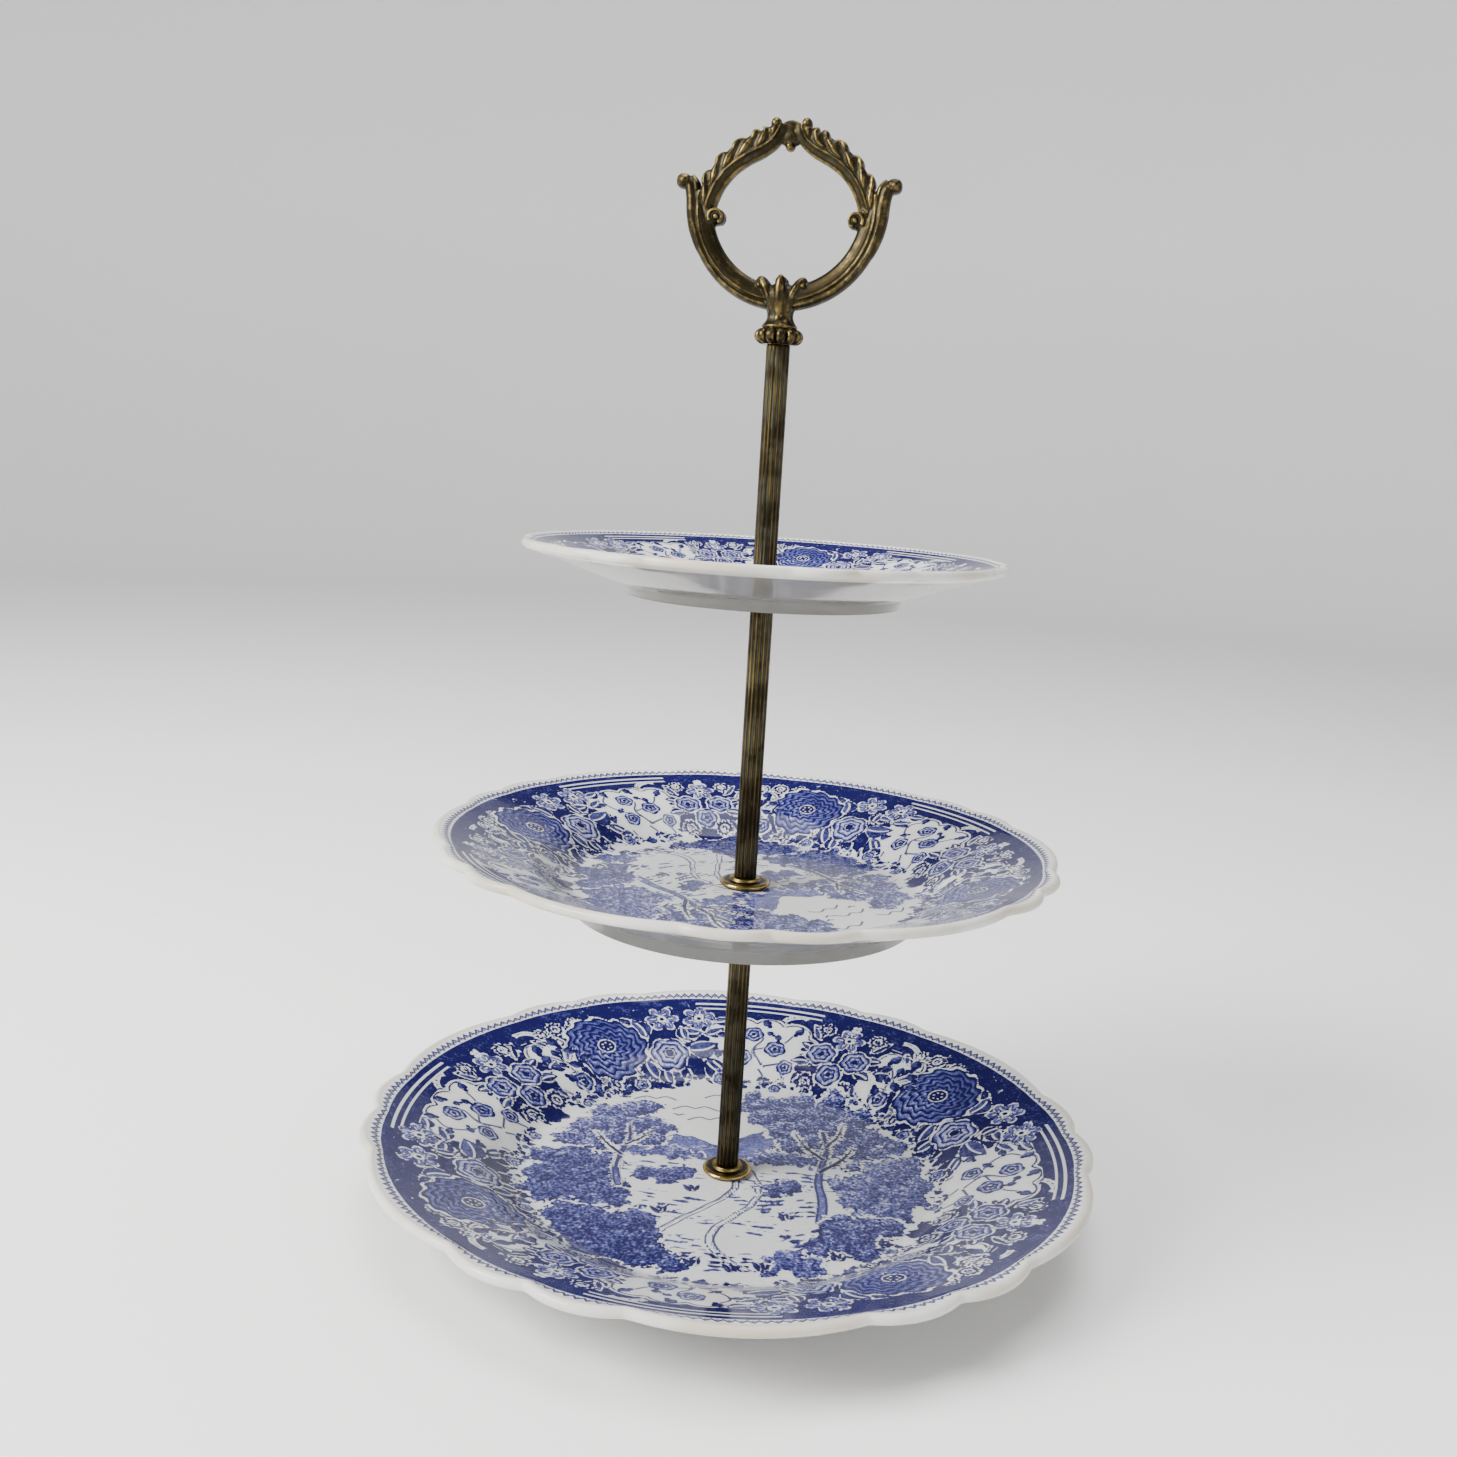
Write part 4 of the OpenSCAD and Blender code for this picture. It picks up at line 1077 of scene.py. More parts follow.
def leaf_arch(settings):
    """Half of the top arch. Across it, from the inside: a smooth band, a fine ridge on the path, then
    acanthus lobes. A lobe's phase grows with s - 1.35 n, so it slants towards the peak; each phase
    holds one full roll and two thin reeds, and the outer edge swells with the roll."""
    path = spline(np.array([(26.6, -3.5), (25.4, 1.8), (22.9, 7.2), (18.9, 12.0), (14.0, 15.5), (9.0, 18.0),
                            (5.6, 20.4), (3.8, 23.2), (3.2, 25.6)]), 34)
    s = np.concatenate([[0], np.cumsum(np.hypot(*np.diff(path, axis=0).T))])
    share = settings.lobe_pitch / 0.0062
    rolls = np.array([-8.2, -2.2, 3.8, 9.8, 15.3, 21.6, 28.0, 34.5]) * share
    u = np.linspace(0, 1, 52)[None, :]

    def phase_at(lead):
        """Whole numbers and a quarter at the middles of the rolls."""
        return np.interp(lead, rolls, np.arange(len(rolls)) + 0.33) % 1

    def roll(phase):
        """Full round roll over the first two thirds of a phase."""
        return np.sqrt(np.clip(1 - ((phase - 0.33) / 0.33) ** 2, 0, 1))

    crest = smooth(0, 5, s)[:, None] * smooth(0.0, 3.0, s[-1] - s)[:, None]
    tip = np.interp(s, [4, 11, 17, 23, 30, 35, 39], [4.4, 5.3, 5.4, 5.9, 6.2, 5.2, 3.4])[:, None]
    outer = (tip - 1.15 * (1 - roll(phase_at(s[:, None] - 1.35 * tip)))) * (0.40 + 0.60 * crest)
    inner = -2.9 + 0.4 * smooth(26, 36, s)[:, None]
    n = inner + (outer - inner) * (1 - np.cos(math.pi * u)) / 2
    phase = phase_at(s[:, None] - 1.35 * np.clip(n, 0, 9))
    reeds = 0.5 - 0.5 * np.cos((phase - 0.66) / 0.34 * 2 * 2 * math.pi)
    relief = np.where(phase < 0.66, 0.15 + 1.25 * roll(phase), 0.15 + 0.65 * reeds)
    zone = smooth(0.5, 1.4, n)
    band = 2.75 - 0.75 * np.exp(-((n + 1.5) / 1.0) ** 2) + 0.75 * np.exp(-((n - 0.1) / 0.32) ** 2)
    depth = band * (1 - zone) + zone * (2.05 + 1.2 * relief)
    depth = depth * np.clip(np.sin(math.pi * u), 0, 1) ** 0.42 * (0.75 + 0.25 * crest)
    front = np.stack([-n, depth], -1)
    back = np.stack([-n, -depth], -1)[:, ::-1]
    return sweep(path, np.concatenate([front, back[:, 1:-1]], 1))


def bent_bar(points, radii, flat=1.0, cuts=10, sides=20):
    """Round bar along a smooth curve, its radius following radii and its depth flat times that."""
    path = spline(np.array(points, float), cuts)
    radius = np.interp(np.linspace(0, 1, len(path)), np.linspace(0, 1, len(radii)), radii)
    t = np.arange(sides) * -2 * math.pi / sides
    circle = np.stack([np.cos(t), flat * np.sin(t)], -1)
    return sweep(path, radius[:, None, None] * circle)


def curl(centre, start, turns, outer, inner, bar, flat, depth=0.0):
    """Spiral bar: angle runs on from start degrees through turns while its radius closes in."""
    share = np.linspace(0, 1, 60)
    angle = np.radians(start + 360 * turns * share)
    radius = outer + (inner - outer) * share
    path = np.stack([centre[0] + radius * np.cos(angle), centre[1] + radius * np.sin(angle)], 1)
    t = np.arange(14) * (-2 if turns > 0 else 2) * math.pi / 14
    circle = np.stack([np.cos(t), flat * np.sin(t)], -1)
    points, faces = sweep(path, (bar * (1 - 0.3 * share))[:, None, None] * circle)
    return points + (0, depth, 0), faces


def side_scrolls():
    """Right side's scrollwork, in the ring's plane and mirrored by the caller: the ear leaf that leaves
    the outer band and rolls outwards, and the inner volute with its eye."""
    parts = [
        bent_bar([(23.5, -19.5), (27.6, -13), (29.7, -7), (30.5, -2), (30.9, 2.5), (31.9, 6.3), (33.7, 8.3)],
                 [0.8, 1.7, 2.2, 2.4, 2.3, 2.1, 1.7], 1.4),
        bent_bar([(26.6, -8), (28.3, -2), (29.1, 3), (29.9, 6.8), (31.3, 9.4)],
                 [0.9, 1.3, 1.4, 1.2, 0.5], 2.1),
        globe((34.0, 0, 7.4), (2.5, 3.6, 2.4), 0.86),
        globe((34.0, 0, 7.4), (1.25, 4.1, 1.25), 0.9),
        globe((22.6, 0, -3.5), (2.65, 3.2, 2.65), 0.9),
        globe((22.5, 0, -3.6), (1.45, 4.25, 1.45), 0.9),
        globe((25.5, 0, -2.2), (2.2, 3.0, 3.4), 0.9),
    ]
    for depth in (-3.0, 3.0):
        parts.append(curl((22.7, -3.5), -35, 0.78, 2.3, 2.0, 0.62, 1.3, depth))
    return parts


def palmette():
    """Neck of the handle: a turned waist with upright flutes, three leaves on each face that open over
    the ring, and a small scroll at each side. Heights are from the ring's centre."""
    z = np.array([-NECK_FOOT, -37.2, -36.8, -36.2, -35.4, -34.6, -33.8, -32.8, -31.6, -30.0, -28.2, -26.6,
                  -25.0, -23.6, -22.6])
    r = np.array([5.4, 5.8, 5.9, 5.5, 4.75, 4.3, 4.1, 4.15, 4.4, 4.85, 5.3, 5.2, 4.4, 2.9, 1.2])

    def flutes(height, angle):
        depth = 0.10 * smooth(-36.6, -34.6, height)
        return depth * (np.abs(np.cos(4 * angle)) - 0.6)

    parts = [lathe(np.interp(np.linspace(0, 1, 70), np.linspace(0, 1, len(z)), z),
                   np.interp(np.linspace(0, 1, 70), np.linspace(0, 1, len(r)), r), 96, flutes)]
    for face in (-1, 1):
        parts.append(globe((0, face * 3.3, -27.2), (2.1, 2.4, 6.6), 1.0, 20, 24))
        parts.append(globe((0, face * 2.7, -23.0), (1.9, 1.9, 2.0)))
    for side in (-1, 1):
        leaf_bar = bent_bar([(2.0, -35), (2.6, -31.5), (3.7, -27.6), (5.2, -24.4), (6.7, -22.4),
                             (7.9, -22.9)], [0.8, 1.5, 2.0, 1.9, 1.4, 0.9], 2.3)
        eye = globe((7.1, 0, -24.1), (1.35, 3.9, 1.35), 0.9)
        parts.extend([leaf_bar, eye] if side > 0 else [mirrored(leaf_bar), mirrored(eye)])
    return parts


def remeshed(name, parts, voxel, passes=2):
    """Melts the closed solids into one skin of even quads and relaxes it: each pass moves a vertex half
    way to the mean of its neighbours, then a third back out along the same line."""
    points, faces = joined(parts)
    rough = mesh_piece(name + "_parts", points * MM, faces)
    modifier = rough.modifiers.new("melt", "REMESH")
    modifier.mode = "VOXEL"
    modifier.voxel_size = voxel * MM
    data = bpy.data.meshes.new_from_object(rough.evaluated_get(bpy.context.evaluated_depsgraph_get()))
    bpy.data.objects.remove(rough)
    data.name = name
    piece = bpy.data.objects.new(name, data)
    bpy.context.scene.collection.objects.link(piece)
    data.polygons.foreach_set("use_smooth", np.ones(len(data.polygons), bool))
    where = vertex_array(data)
    edges = edge_array(data)
    for share in (0.45, -0.36) * passes:
        where = where + share * (neighbour_mean(where, edges) - where)
    data.vertices.foreach_set("co", where.astype(np.float32).ravel())
    data.update()
    if not len(where):
        raise RuntimeError("nothing was left of " + name)
    return piece


def vertex_array(data):
    where = np.empty(len(data.vertices) * 3, np.float32)
    data.vertices.foreach_get("co", where)
    return where.reshape(-1, 3).astype(float)


def edge_array(data):
    edges = np.empty(len(data.edges) * 2, np.int32)
    data.edges.foreach_get("vertices", edges)
    return edges.reshape(-1, 2)


def neighbour_mean(values, edges):
    """Mean of the values at the far ends of each vertex's edges."""
    count = len(values)
    shares = np.bincount(edges.ravel(), minlength=count)
    columns = [np.bincount(edges[:, 0], values[edges[:, 1], c], count) +
               np.bincount(edges[:, 1], values[edges[:, 0], c], count) for c in range(values.shape[1])]
    return np.stack(columns, 1) / np.maximum(shares, 1)[:, None]


def wear_layer(piece, spread=5, scale=0.00006):
    """Stores wear, 0 in hollows to 1 on ridges: how far a vertex stands out of the mean of its
    neighbours along its normal, softened over a few rings and divided by scale."""
    where, edges = vertex_array(piece.data), edge_array(piece.data)
    normals = np.empty(len(where) * 3, np.float32)
    piece.data.vertices.foreach_get("normal", normals)
    calm = where
    for _ in range(spread):
        calm = neighbour_mean(calm, edges)
    proud = ((where - calm) * normals.reshape(-1, 3)).sum(1)[:, None]
    for _ in range(2):
        proud = neighbour_mean(proud, edges)
    float_layer(piece, "wear", np.clip(0.5 + proud[:, 0] / (2 * scale * spread), 0, 1))


def handle_piece(settings):
    """The cast handle: all its scrollwork melted into one skin, stood on its neck and turned."""
    arch, scrolls = leaf_arch(settings), side_scrolls()
    parts = [ring_bar(), arch, mirrored(arch), *scrolls, *[mirrored(part) for part in scrolls], *palmette()]
    for height, radii in ((18.7, (1.6, 2.5, 1.6)), (21.4, (4.0, 1.9, 2.9)), (24.2, (3.4, 1.5, 2.6))):
        parts.append(globe((0, 0, height), radii))
    for side in (-1, 1):
        parts.append(globe((side * 4.9, 0, 25.4), (1.8, 3.1, 2.1)))
    piece = remeshed("cast_handle", parts, settings.cast_detail / MM)
    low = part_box("handle")[0]
    lift = low[2] + NECK_FOOT * MM
    piece.data.transform(Matrix.Translation((0, 0, lift)) @ Matrix.Rotation(settings.handle_turn, 4, "Z"))
    wear_layer(piece)
    return piece


def collar_piece(settings):
    """Bead collar: a turned core whose radius swells to a round bead, sqrt(1 - s^2 - h^2), twelve times
    round, with a plain fillet above and below."""
    low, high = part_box("handle_collar")
    z0, z1 = low[2] / MM, high[2] / MM
    middle, half = (z0 + z1) / 2, (z1 - z0) / 2
    beads = settings.collar_beads
    rise = np.sin(np.linspace(-math.pi / 2, math.pi / 2, 40))
    sides = beads * 20
    angle = np.arange(sides) * 2 * math.pi / sides
    across = (((angle * beads / (2 * math.pi)) % 1) - 0.5) * 2
    bulge = np.sqrt(np.clip(1 - 0.96 * np.abs(across[None, :]) ** 2.5 - (rise[:, None] / 0.94) ** 2, 0, 1))
    core = 5.0 + 0.5 * smooth(0.80, 1.0, np.abs(rise))
    r = core[:, None] + 3.0 * bulge ** 0.8
    r[[0, -1]] = 5.4
    rows = len(rise)
    shell = round_points(r, angle, (middle + half * rise)[:, None])
    points, closing = bored(shell, rows, sides, STUD_BORE, angle, z0, z1)
    turn = np.array([[math.cos(settings.handle_turn), math.sin(settings.handle_turn), 0],
                     [-math.sin(settings.handle_turn), math.cos(settings.handle_turn), 0], [0, 0, 1]])
    piece = mesh_piece("bead_collar", points @ turn * MM, [tube_faces(rows, sides), closing])
    wear_layer(piece, 4, 0.00009)
    return piece


def rod_piece(node, settings):
    """Drawn rod: a tube with round flutes, r = R - d (1 - |cos(n a / 2)|), whose ends are eased over
    half a millimetre, and a plain bore."""
    low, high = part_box(node)
    z0, z1, big = low[2] / MM, high[2] / MM, (high[0] - low[0]) / 2 / MM
    sides = settings.rod_flutes * 10
    angle = np.arange(sides) * 2 * math.pi / sides
    groove = 1 - np.abs(np.cos(angle * settings.rod_flutes / 2))
    length = z1 - z0
    heights = np.concatenate([[0, 0.15, 0.5], np.linspace(0, length, 42)[1:-1],
                              [length - 0.5, length - 0.15, length]])
    ease = 0.30 * (1 - np.clip(np.minimum(heights, length - heights) / 0.5, 0, 1)) ** 2
    r = big - ease[:, None] - settings.flute_depth / MM * groove[None, :]
    rows = len(heights)
    shell = round_points(r, angle, (z0 + heights)[:, None])
    points, closing = bored(shell, rows, sides, big - TUBE_WALL, angle, z0, z1)
    piece = mesh_piece("fluted_" + node, points * MM, [tube_faces(rows, sides), closing])
    ridge = np.concatenate([np.tile(1 - 0.9 * groove, rows), np.full(2 * sides, 0.3)])
    float_layer(piece, "wear", 0.25 + 0.5 * ridge)
    return piece


def rosette_piece(node):
    """Dish under a rod's foot: a turned solid, its flange rounded over, a hollow slope, then a small
    raised seat for the rod. Radius and height follow the profile below, sized to the node."""
    low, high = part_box(node)
    z0, z1, big = low[2] / MM, high[2] / MM, (high[0] - low[0]) / 2 / MM
    tall = z1 - z0
    sides = 160
    angle = np.arange(sides) * 2 * math.pi / sides
    radius = np.array([STUD_BORE, 4.9, 5.1, 5.2, 5.25, 5.4, 5.8, 6.4, 7.1, 7.7, 8.15, 8.5, 8.72, 8.8,
                       8.72, 8.5, 8.1, STUD_BORE])
    height = np.array([1.0, 1.0, 0.97, 0.90, 0.72, 0.62, 0.55, 0.53, 0.54, 0.55, 0.52, 0.44, 0.32, 0.2,
                       0.1, 0.03, 0.0, 0.0])
    r = np.repeat((radius * big / radius.max())[:, None], sides, 1)
    points = round_points(r, angle, z0 + tall * height[:, None])
    grid = tube_faces(len(radius), sides, flip=True)
    i = np.arange(sides)
    nxt, last = (i + 1) % sides, (len(radius) - 1) * sides
    closing = np.stack([i, nxt, last + nxt, last + i], 1)
    piece = mesh_piece("turned_" + node, points * MM, [grid, closing])
    rubbed = np.interp(radius, [2, 5.3, 5.6, 7.2, 8.3, 8.8], [0.5, 0.6, 0.2, 0.4, 0.85, 0.7])
    float_layer(piece, "wear", np.repeat(rubbed, sides))
    return piece


def brass_finish(name, settings, polish=0.0, streak=(1, 1, 1)):
    """Aged brass: dark olive-brown, rubbed to gold where wear is high, with a dull green-grey bloom in
    the hollows. Colour, metal and roughness all follow the same wear plus noise."""
    f = Finish(name)
    wear = f.attribute("wear")
    coarse = f.noise(420, 4.0, 0.62, streak)
    fine = f.noise(2400, 3.0, 0.6, streak)
    patch = f.noise(95, 3.0, 0.55)
    rub = f.math("ADD", wear, f.math("MULTIPLY", f.math("SUBTRACT", coarse, 0.5), 0.45))
    rub = f.math("ADD", rub, f.math("MULTIPLY_ADD", f.math("SUBTRACT", patch, 0.5), 0.32, polish))
    dark, gold = tuple(settings.aged_colour), tuple(settings.worn_colour)
    middle = tuple(0.62 * a + 0.38 * b for a, b in zip(dark, gold))
    colour = f.ramp(rub, [(0.18, tuple(0.55 * c for c in dark)), (0.42, dark), (0.62, middle), (0.92, gold)])
    bloom = f.math("MULTIPLY", f.step(0.42, 0.14, rub), f.step(0.42, 0.60, patch))
    base = f.mix(f.math("MULTIPLY", bloom, 0.65), colour, (*settings.bloom_colour, 1))
    f.set(Base_Color=base, Metallic=f.math("MULTIPLY_ADD", bloom, -0.6, 1.0),
          Roughness=f.ramp(rub, [(0.2, 0.50), (0.5, 0.34), (0.9, 0.19)]))
    pits = f.bump(f.math("ADD", coarse, f.math("MULTIPLY", fine, 0.6)), 0.00012, 0.5)
    f.set(Normal=pits)
    return f.material


# ---------------------------------------------------------------- plain hardware

def zinc_finish(name, settings):
    """Zinc-plated steel: grey with a faint warm bloom and fine turned scratches in the roughness."""
    f = Finish(name)
    patch, fine = f.noise(300, 4.0, 0.6), f.noise(1500, 3.0, 0.6, (1, 1, 6))
    pale = tuple(settings.steel_colour)
    base = f.ramp(patch, [(0.3, tuple(0.7 * c for c in pale)), (0.7, pale)])
    f.set(Base_Color=base, Metallic=1.0, Roughness=f.math("MULTIPLY_ADD", fine, 0.35, 0.22),
          Normal=f.bump(fine, 0.00003, 0.4))
    return f.material


def rubber_finish(name, settings):
    """Matt black rubber with dust in a low noise and a fine moulded grain."""
    f = Finish(name)
    dust, grain = f.noise(350, 4.0, 0.6), f.noise(3000, 2.0, 0.5)
    share = f.math("MULTIPLY", f.step(0.5, 0.75, dust), 0.35)
    base = f.mix(share, (*settings.rubber_colour, 1), DUST)
    f.set(Base_Color=base, Roughness=f.math("MULTIPLY_ADD", dust, 0.3, 0.55),
          Normal=f.bump(grain, 0.00004, 0.5))
    return f.material


def dress(node, material):
    """Gives a carried-over CAD node its finish."""
    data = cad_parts[node].data
    data.materials.clear()
    data.materials.append(material)


# ---------------------------------------------------------------- stage

def camera_for_stage():
    """Camera a little above the middle of the stand, half a metre off, rolled so that the stand leans."""
    pitch, roll, yaw = math.radians(10.39), math.radians(3.50), math.radians(-0.45)
    ahead = Vector((math.sin(yaw) * math.cos(pitch), math.cos(yaw) * math.cos(pitch), -math.sin(pitch)))
    right = ahead.cross(Vector((0, 0, 1))).normalized()
    up = right.cross(ahead)
    right, up = (math.cos(roll) * right + math.sin(roll) * up, math.cos(roll) * up - math.sin(roll) * right)
    lens = bpy.data.cameras.new("stand_camera")
    lens.sensor_width, lens.lens = 36, 36.0988
    lens.shift_x = -0.010
    lens.clip_start = 0.02
    camera = bpy.data.objects.new("stand_camera", lens)
    bpy.context.scene.collection.objects.link(camera)
    axes = Matrix((right, up, -ahead)).transposed().to_4x4()
    camera.matrix_world = Matrix.Translation((0, -0.490, 0.2599)) @ axes
    bpy.context.scene.camera = camera


def sweep_stage():
    """Pale round floor that turns up into a low wall over a quarter circle, the same on every side: a
    profile of radius and height carried round the axis."""
    bend = np.radians(np.linspace(0, 90, 24))
    curve = np.stack([2.3 + 0.8 * np.sin(bend), 0.8 - 0.8 * np.cos(bend)], 1)
    profile = np.vstack([[0.5, 0], [1.2, 0], curve, [3.1, 1.85]])
    sides = 128
    turn = np.arange(sides) * 2 * math.pi / sides
    rings = round_points(profile[:, :1] + 0 * turn, turn, profile[:, 1:])
    points = np.vstack([rings, [[0, 0, 0]]])
    i = np.arange(sides)
    centre = np.stack([np.full(sides, len(points) - 1), i, (i + 1) % sides], 1)
    floor = mesh_piece("stage_floor", points, [centre, tube_faces(len(profile), sides, flip=True)])
    f = Finish("stage_paper")
    paper = f.ramp(f.noise(3, 2.0, 0.5), [(0.0, 0.88), (1.0, 0.92)])
    f.set(Base_Color=paper, Roughness=0.9)
    f.shader.inputs["Emission Color"].default_value = (1, 1, 1, 1)
    f.shader.inputs["Emission Strength"].default_value = 0.12
    floor.data.materials.append(f.material)
    return floor


def studio_world():
    """Plain room light by height: pale near the horizon and dimmer overhead, so that the glaze keeps its
    colour where it mirrors the ceiling."""
    world = bpy.data.worlds.new("studio")
    world.use_nodes = True
    tree = world.node_tree
    coords, axes = tree.nodes.new("ShaderNodeTexCoord"), tree.nodes.new("ShaderNodeSeparateXYZ")
    height = tree.nodes.new("ShaderNodeMapRange")
    height.interpolation_type = "SMOOTHSTEP"
    height.inputs["From Min"].default_value, height.inputs["From Max"].default_value = 0.24, 0.44
    height.inputs["To Min"].default_value, height.inputs["To Max"].default_value = 0.66, 0.15
    tree.links.new(coords.outputs["Generated"], axes.inputs[0])
    tree.links.new(axes.outputs[2], height.inputs["Value"])
    background = tree.nodes["Background"]
    background.inputs[0].default_value = (0.98, 0.99, 1.0, 1)
    tree.links.new(height.outputs[0], background.inputs[1])
    return world


def soft_light(name, place, aim, size, watts, colour):
    lamp = bpy.data.lights.new(name, "AREA")
    lamp.shape, lamp.size, lamp.energy, lamp.color = "SQUARE", size, watts, colour
    thing = bpy.data.objects.new(name, lamp)
    thing.location = place
    thing.rotation_euler = (Vector(aim) - Vector(place)).to_track_quat("-Z", "Y").to_euler()
    bpy.context.scene.collection.objects.link(thing)
    return thing


# ---------------------------------------------------------------- the add-on

class StandSizes(bpy.types.PropertyGroup):
    """Sizes of the detail that is laid over the frame."""
    bottom_print_turn: bpy.props.FloatProperty(
        name="Bottom print turn", description="Turn of the bottom plate's print about the rods",
        default=0.0, subtype="ANGLE")
    middle_print_turn: bpy.props.FloatProperty(
        name="Middle print turn", description="Turn of the middle plate's print about the rods",
        default=math.radians(220.4), subtype="ANGLE")
    top_print_turn: bpy.props.FloatProperty(
        name="Top print turn", description="Turn of the top plate's print about the rods",
        default=math.radians(43.5), subtype="ANGLE")
    rod_flutes: bpy.props.IntProperty(
        name="Rod flutes", description="Number of flutes round a rod", default=16, min=8, max=24)
    flute_depth: bpy.props.FloatProperty(
        name="Flute depth", description="Depth of a rod's flutes", default=0.0003, unit="LENGTH", precision=5)
    collar_beads: bpy.props.IntProperty(
        name="Collar beads", description="Number of beads round the handle's collar",
        default=12, min=8, max=16)
    handle_turn: bpy.props.FloatProperty(
        name="Handle turn", description="Turn of the handle about the rods, as in the frame",
        default=math.radians(-10), subtype="ANGLE")
    lobe_pitch: bpy.props.FloatProperty(
        name="Lobe pitch", description="Mean length of arch that one acanthus lobe takes",
        default=0.0062, unit="LENGTH", precision=5)
    cast_detail: bpy.props.FloatProperty(
        name="Cast detail", description="Size of the finest quads on the cast handle",
        default=0.00027, unit="LENGTH", precision=5)


class StandFinishes(bpy.types.PropertyGroup):
    """Colours of the stand's finishes."""
    glaze_colour: bpy.props.FloatVectorProperty(
        name="Glaze", description="Off-white glaze of the plates",
        default=(0.71, 0.722, 0.718), subtype="COLOR")
    ink_colour: bpy.props.FloatVectorProperty(
        name="Cobalt", description="Deepest blue of the print",
        default=(0.007, 0.006, 0.066), subtype="COLOR")
    wash_colour: bpy.props.FloatVectorProperty(
        name="Wash", description="Palest blue of the print",
        default=(0.110, 0.122, 0.36), subtype="COLOR")
    age_colour: bpy.props.FloatVectorProperty(
        name="Rim age", description="Honey-brown stain on the rims",
        default=(0.42, 0.31, 0.20), subtype="COLOR")
    aged_colour: bpy.props.FloatVectorProperty(
        name="Aged brass", description="Dark brass away from touch",
        default=(0.031, 0.0245, 0.0125), subtype="COLOR")
    worn_colour: bpy.props.FloatVectorProperty(
        name="Worn brass", description="Brass rubbed bright",
        default=(0.52, 0.365, 0.115), subtype="COLOR")
    bloom_colour: bpy.props.FloatVectorProperty(
        name="Bloom", description="Green-grey bloom in the hollows",
        default=(0.05, 0.056, 0.036), subtype="COLOR")
    steel_colour: bpy.props.FloatVectorProperty(
        name="Steel", description="Zinc-plated steel hardware",
        default=(0.55, 0.55, 0.56), subtype="COLOR")
    rubber_colour: bpy.props.FloatVectorProperty(
        name="Rubber", description="Gaskets under and over each plate",
        default=(0.018, 0.018, 0.018), subtype="COLOR")


class STAND_OT_plates(bpy.types.Operator):
    """Makes the three printed plates"""
    bl_idname = "cake_stand.plates"
    bl_label = "Printed plates"

    def execute(self, context):
        sizes, finishes = context.scene.stand_sizes, context.scene.stand_finishes
        turns = [math.degrees(turn) for turn in (
            sizes.bottom_print_turn, sizes.middle_print_turn, sizes.top_print_turn)]
        plates = (
            Plate("bottom", "base", PRINT_R, 28, 7.5, 3.6, 74, 91, 34, turns[0]),
            Plate("middle", "middle_plate", 107, 26, 7.6, 3.4, 61.5, 76, 4.5, turns[1]),
            Plate("top", "top_plate", 81, 16.9, 6.5, 3, 47, 57, 20, turns[2]))
        for plate in plates:
            piece = plate_piece(plate)
            piece.data.materials.append(glazed_finish(finishes, plate))
            place(piece, plate.body, "glazed_ceramic", plate.node)
        return {"FINISHED"}


class STAND_OT_rods(bpy.types.Operator):
    """Makes the fluted rods and the rosettes under them"""
    bl_idname = "cake_stand.rods"
    bl_label = "Rods and rosettes"

    def execute(self, context):
        sizes, finishes = context.scene.stand_sizes, context.scene.stand_finishes
        drawn = brass_finish("drawn_brass", finishes, -0.27, (1, 1, 0.12))
        pressed = brass_finish("turned_brass", finishes, 0.08)
        for tier in ("lower", "middle", "upper"):
            piece = rod_piece(tier + "_rod", sizes)
            piece.data.materials.append(drawn)
            place(piece, tier + "_rod", "rod_brass", tier + "_rod")
        for tier in ("bottom", "middle", "top"):
            piece = rosette_piece(tier + "_rosette")
            piece.data.materials.append(pressed)
            place(piece, tier + "_rosette", "rosette_brass", tier + "_rosette")
        return {"FINISHED"}


class STAND_OT_handle(bpy.types.Operator):
    """Makes the cast ring handle and its bead collar"""
    bl_idname = "cake_stand.handle"
    bl_label = "Handle and collar"

    def execute(self, context):
        sizes, finishes = context.scene.stand_sizes, context.scene.stand_finishes
        cast = brass_finish("cast_brass", finishes, -0.13)
        handle = handle_piece(sizes)
        handle.data.materials.append(cast)
        place(handle, "handle", "antique_brass", "handle")
        collar = collar_piece(sizes)
        collar.data.materials.append(cast)
        place(collar, "handle_collar", "antique_brass", "handle_collar")
        return {"FINISHED"}


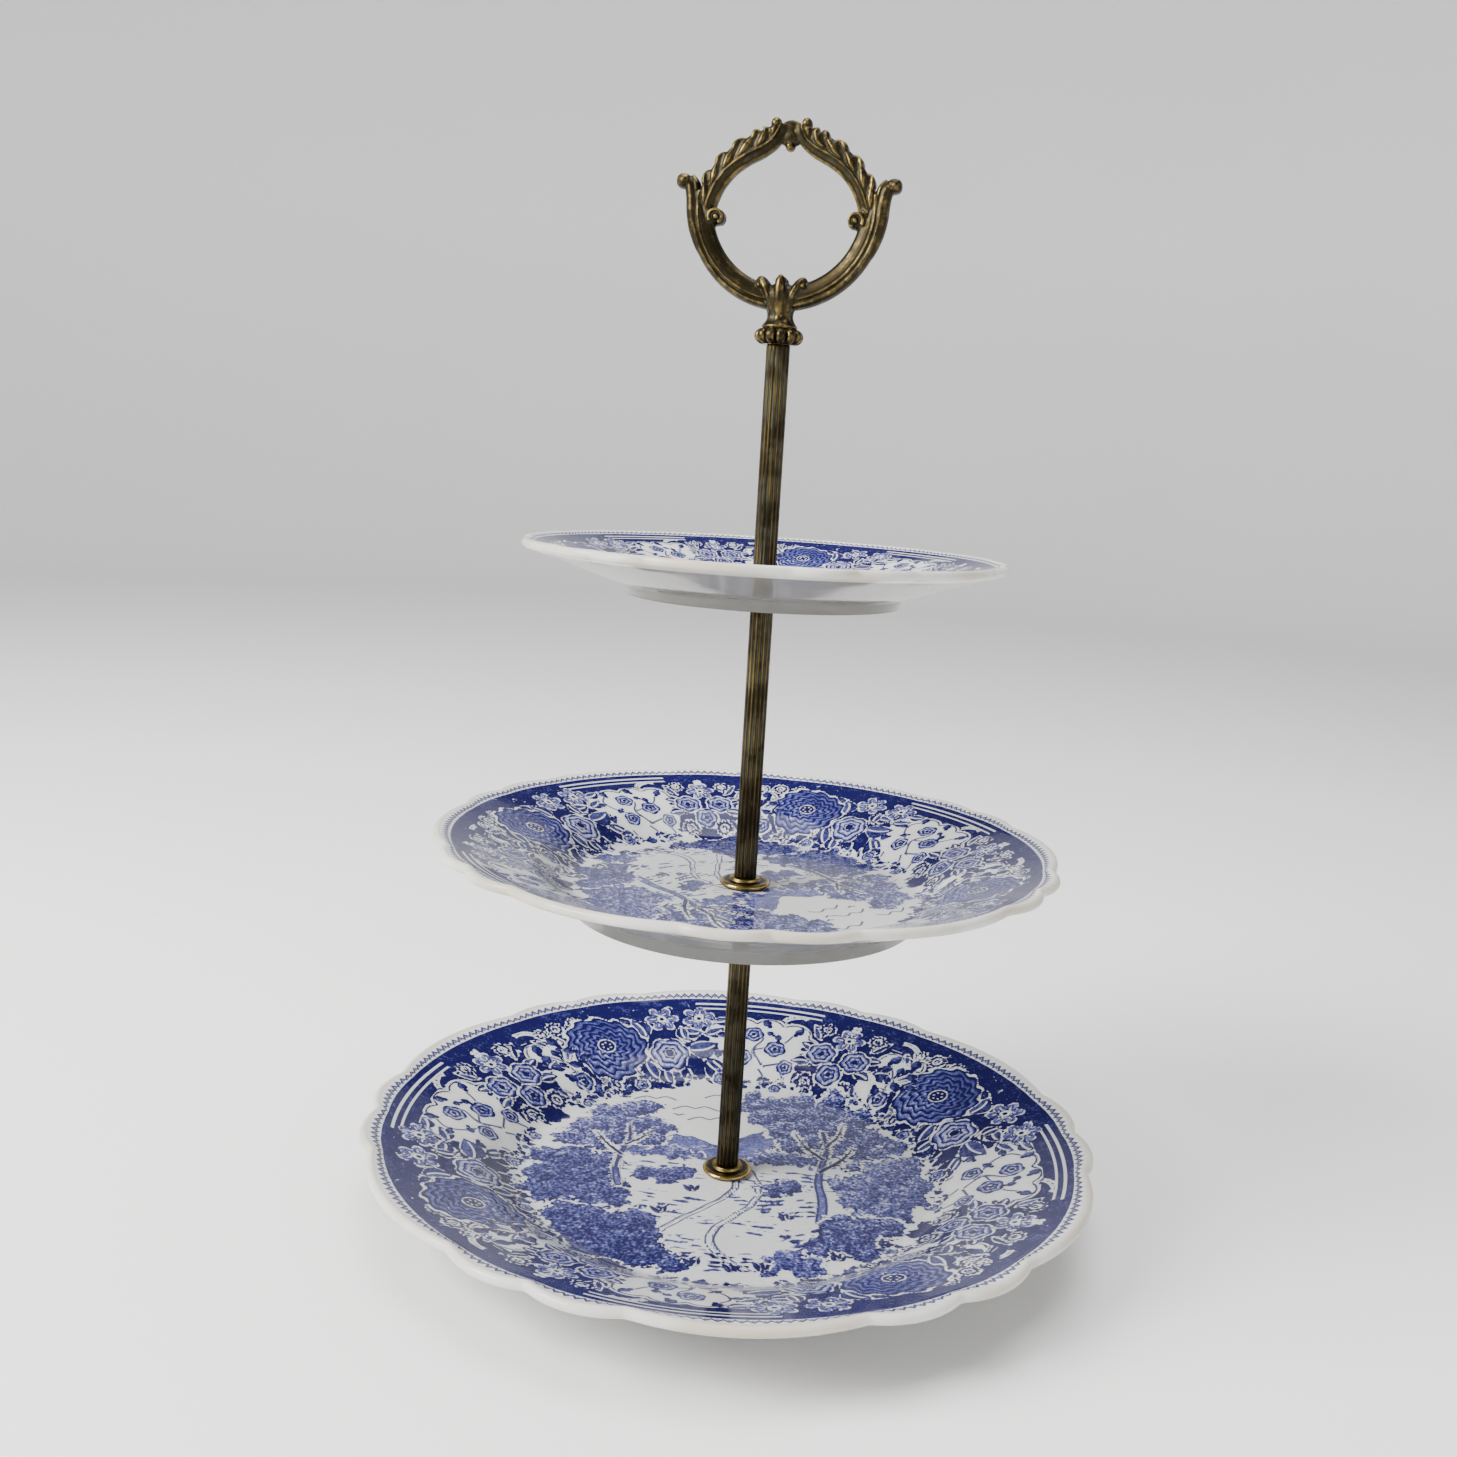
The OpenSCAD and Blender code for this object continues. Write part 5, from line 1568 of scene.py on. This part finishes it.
class STAND_OT_hardware(bpy.types.Operator):
    """Finishes the screw, washers, studs, bushes and gaskets of the frame"""
    bl_idname = "cake_stand.hardware"
    bl_label = "Hardware finishes"

    def execute(self, context):
        finishes = context.scene.stand_finishes
        zinc = zinc_finish("zinc_plated_steel", finishes)
        rubber = rubber_finish("gasket_rubber", finishes)
        bush = brass_finish("bush_brass", finishes, 0.35)
        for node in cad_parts:
            if "gasket" in node:
                dress(node, rubber)
            elif "bush" in node:
                dress(node, bush)
            elif "washer" in node or "stud" in node or "screw" in node:
                dress(node, zinc)
        return {"FINISHED"}


class STAND_OT_stage(bpy.types.Operator):
    """Sets up the pale floor, the soft lights and the camera"""
    bl_idname = "cake_stand.stage"
    bl_label = "Stage"

    def execute(self, context):
        lamps = [
            soft_light("window_light", (-1.15, -0.55, 0.95), (0, 0, 0.15), 0.8, 56, (1.0, 0.985, 0.96)),
            soft_light("ceiling_light", (0.1, 0.1, 1.6), (0, 0, 0.1), 1.2, 27, (1.0, 1.0, 1.0)),
            soft_light("fill_light", (1.1, -1.0, 0.5), (0, 0, 0.15), 0.9, 5, (0.96, 0.98, 1.0))]
        sweep_stage()
        context.scene.world = studio_world()
        camera_for_stage()
        return {"FINISHED"}


class VIEW3D_PT_cake_stand(bpy.types.Panel):
    """Lists the stand's operators in the order that they run"""
    bl_label = "Tiered Cake Stand"
    bl_space_type = "VIEW_3D"
    bl_region_type = "UI"
    bl_category = "Cake Stand"

    def draw(self, context):
        for group in (context.scene.stand_sizes, context.scene.stand_finishes):
            for key in group.__annotations__:
                self.layout.prop(group, key)
        for operator in OPERATORS:
            self.layout.operator(operator.bl_idname)


OPERATORS = (STAND_OT_plates, STAND_OT_rods, STAND_OT_handle, STAND_OT_hardware, STAND_OT_stage)
CLASSES = (StandSizes, StandFinishes, *OPERATORS, VIEW3D_PT_cake_stand)


def register():
    for kind in CLASSES:
        bpy.utils.register_class(kind)
    bpy.types.Scene.stand_sizes = bpy.props.PointerProperty(type=StandSizes)
    bpy.types.Scene.stand_finishes = bpy.props.PointerProperty(type=StandFinishes)


def unregister():
    del bpy.types.Scene.stand_finishes
    del bpy.types.Scene.stand_sizes
    for kind in reversed(CLASSES):
        bpy.utils.unregister_class(kind)


def main():
    """Runs every operator in order."""
    register()
    bpy.ops.cake_stand.plates()
    bpy.ops.cake_stand.rods()
    bpy.ops.cake_stand.handle()
    bpy.ops.cake_stand.hardware()
    bpy.ops.cake_stand.stage()


if __name__ == "__main__":
    main()
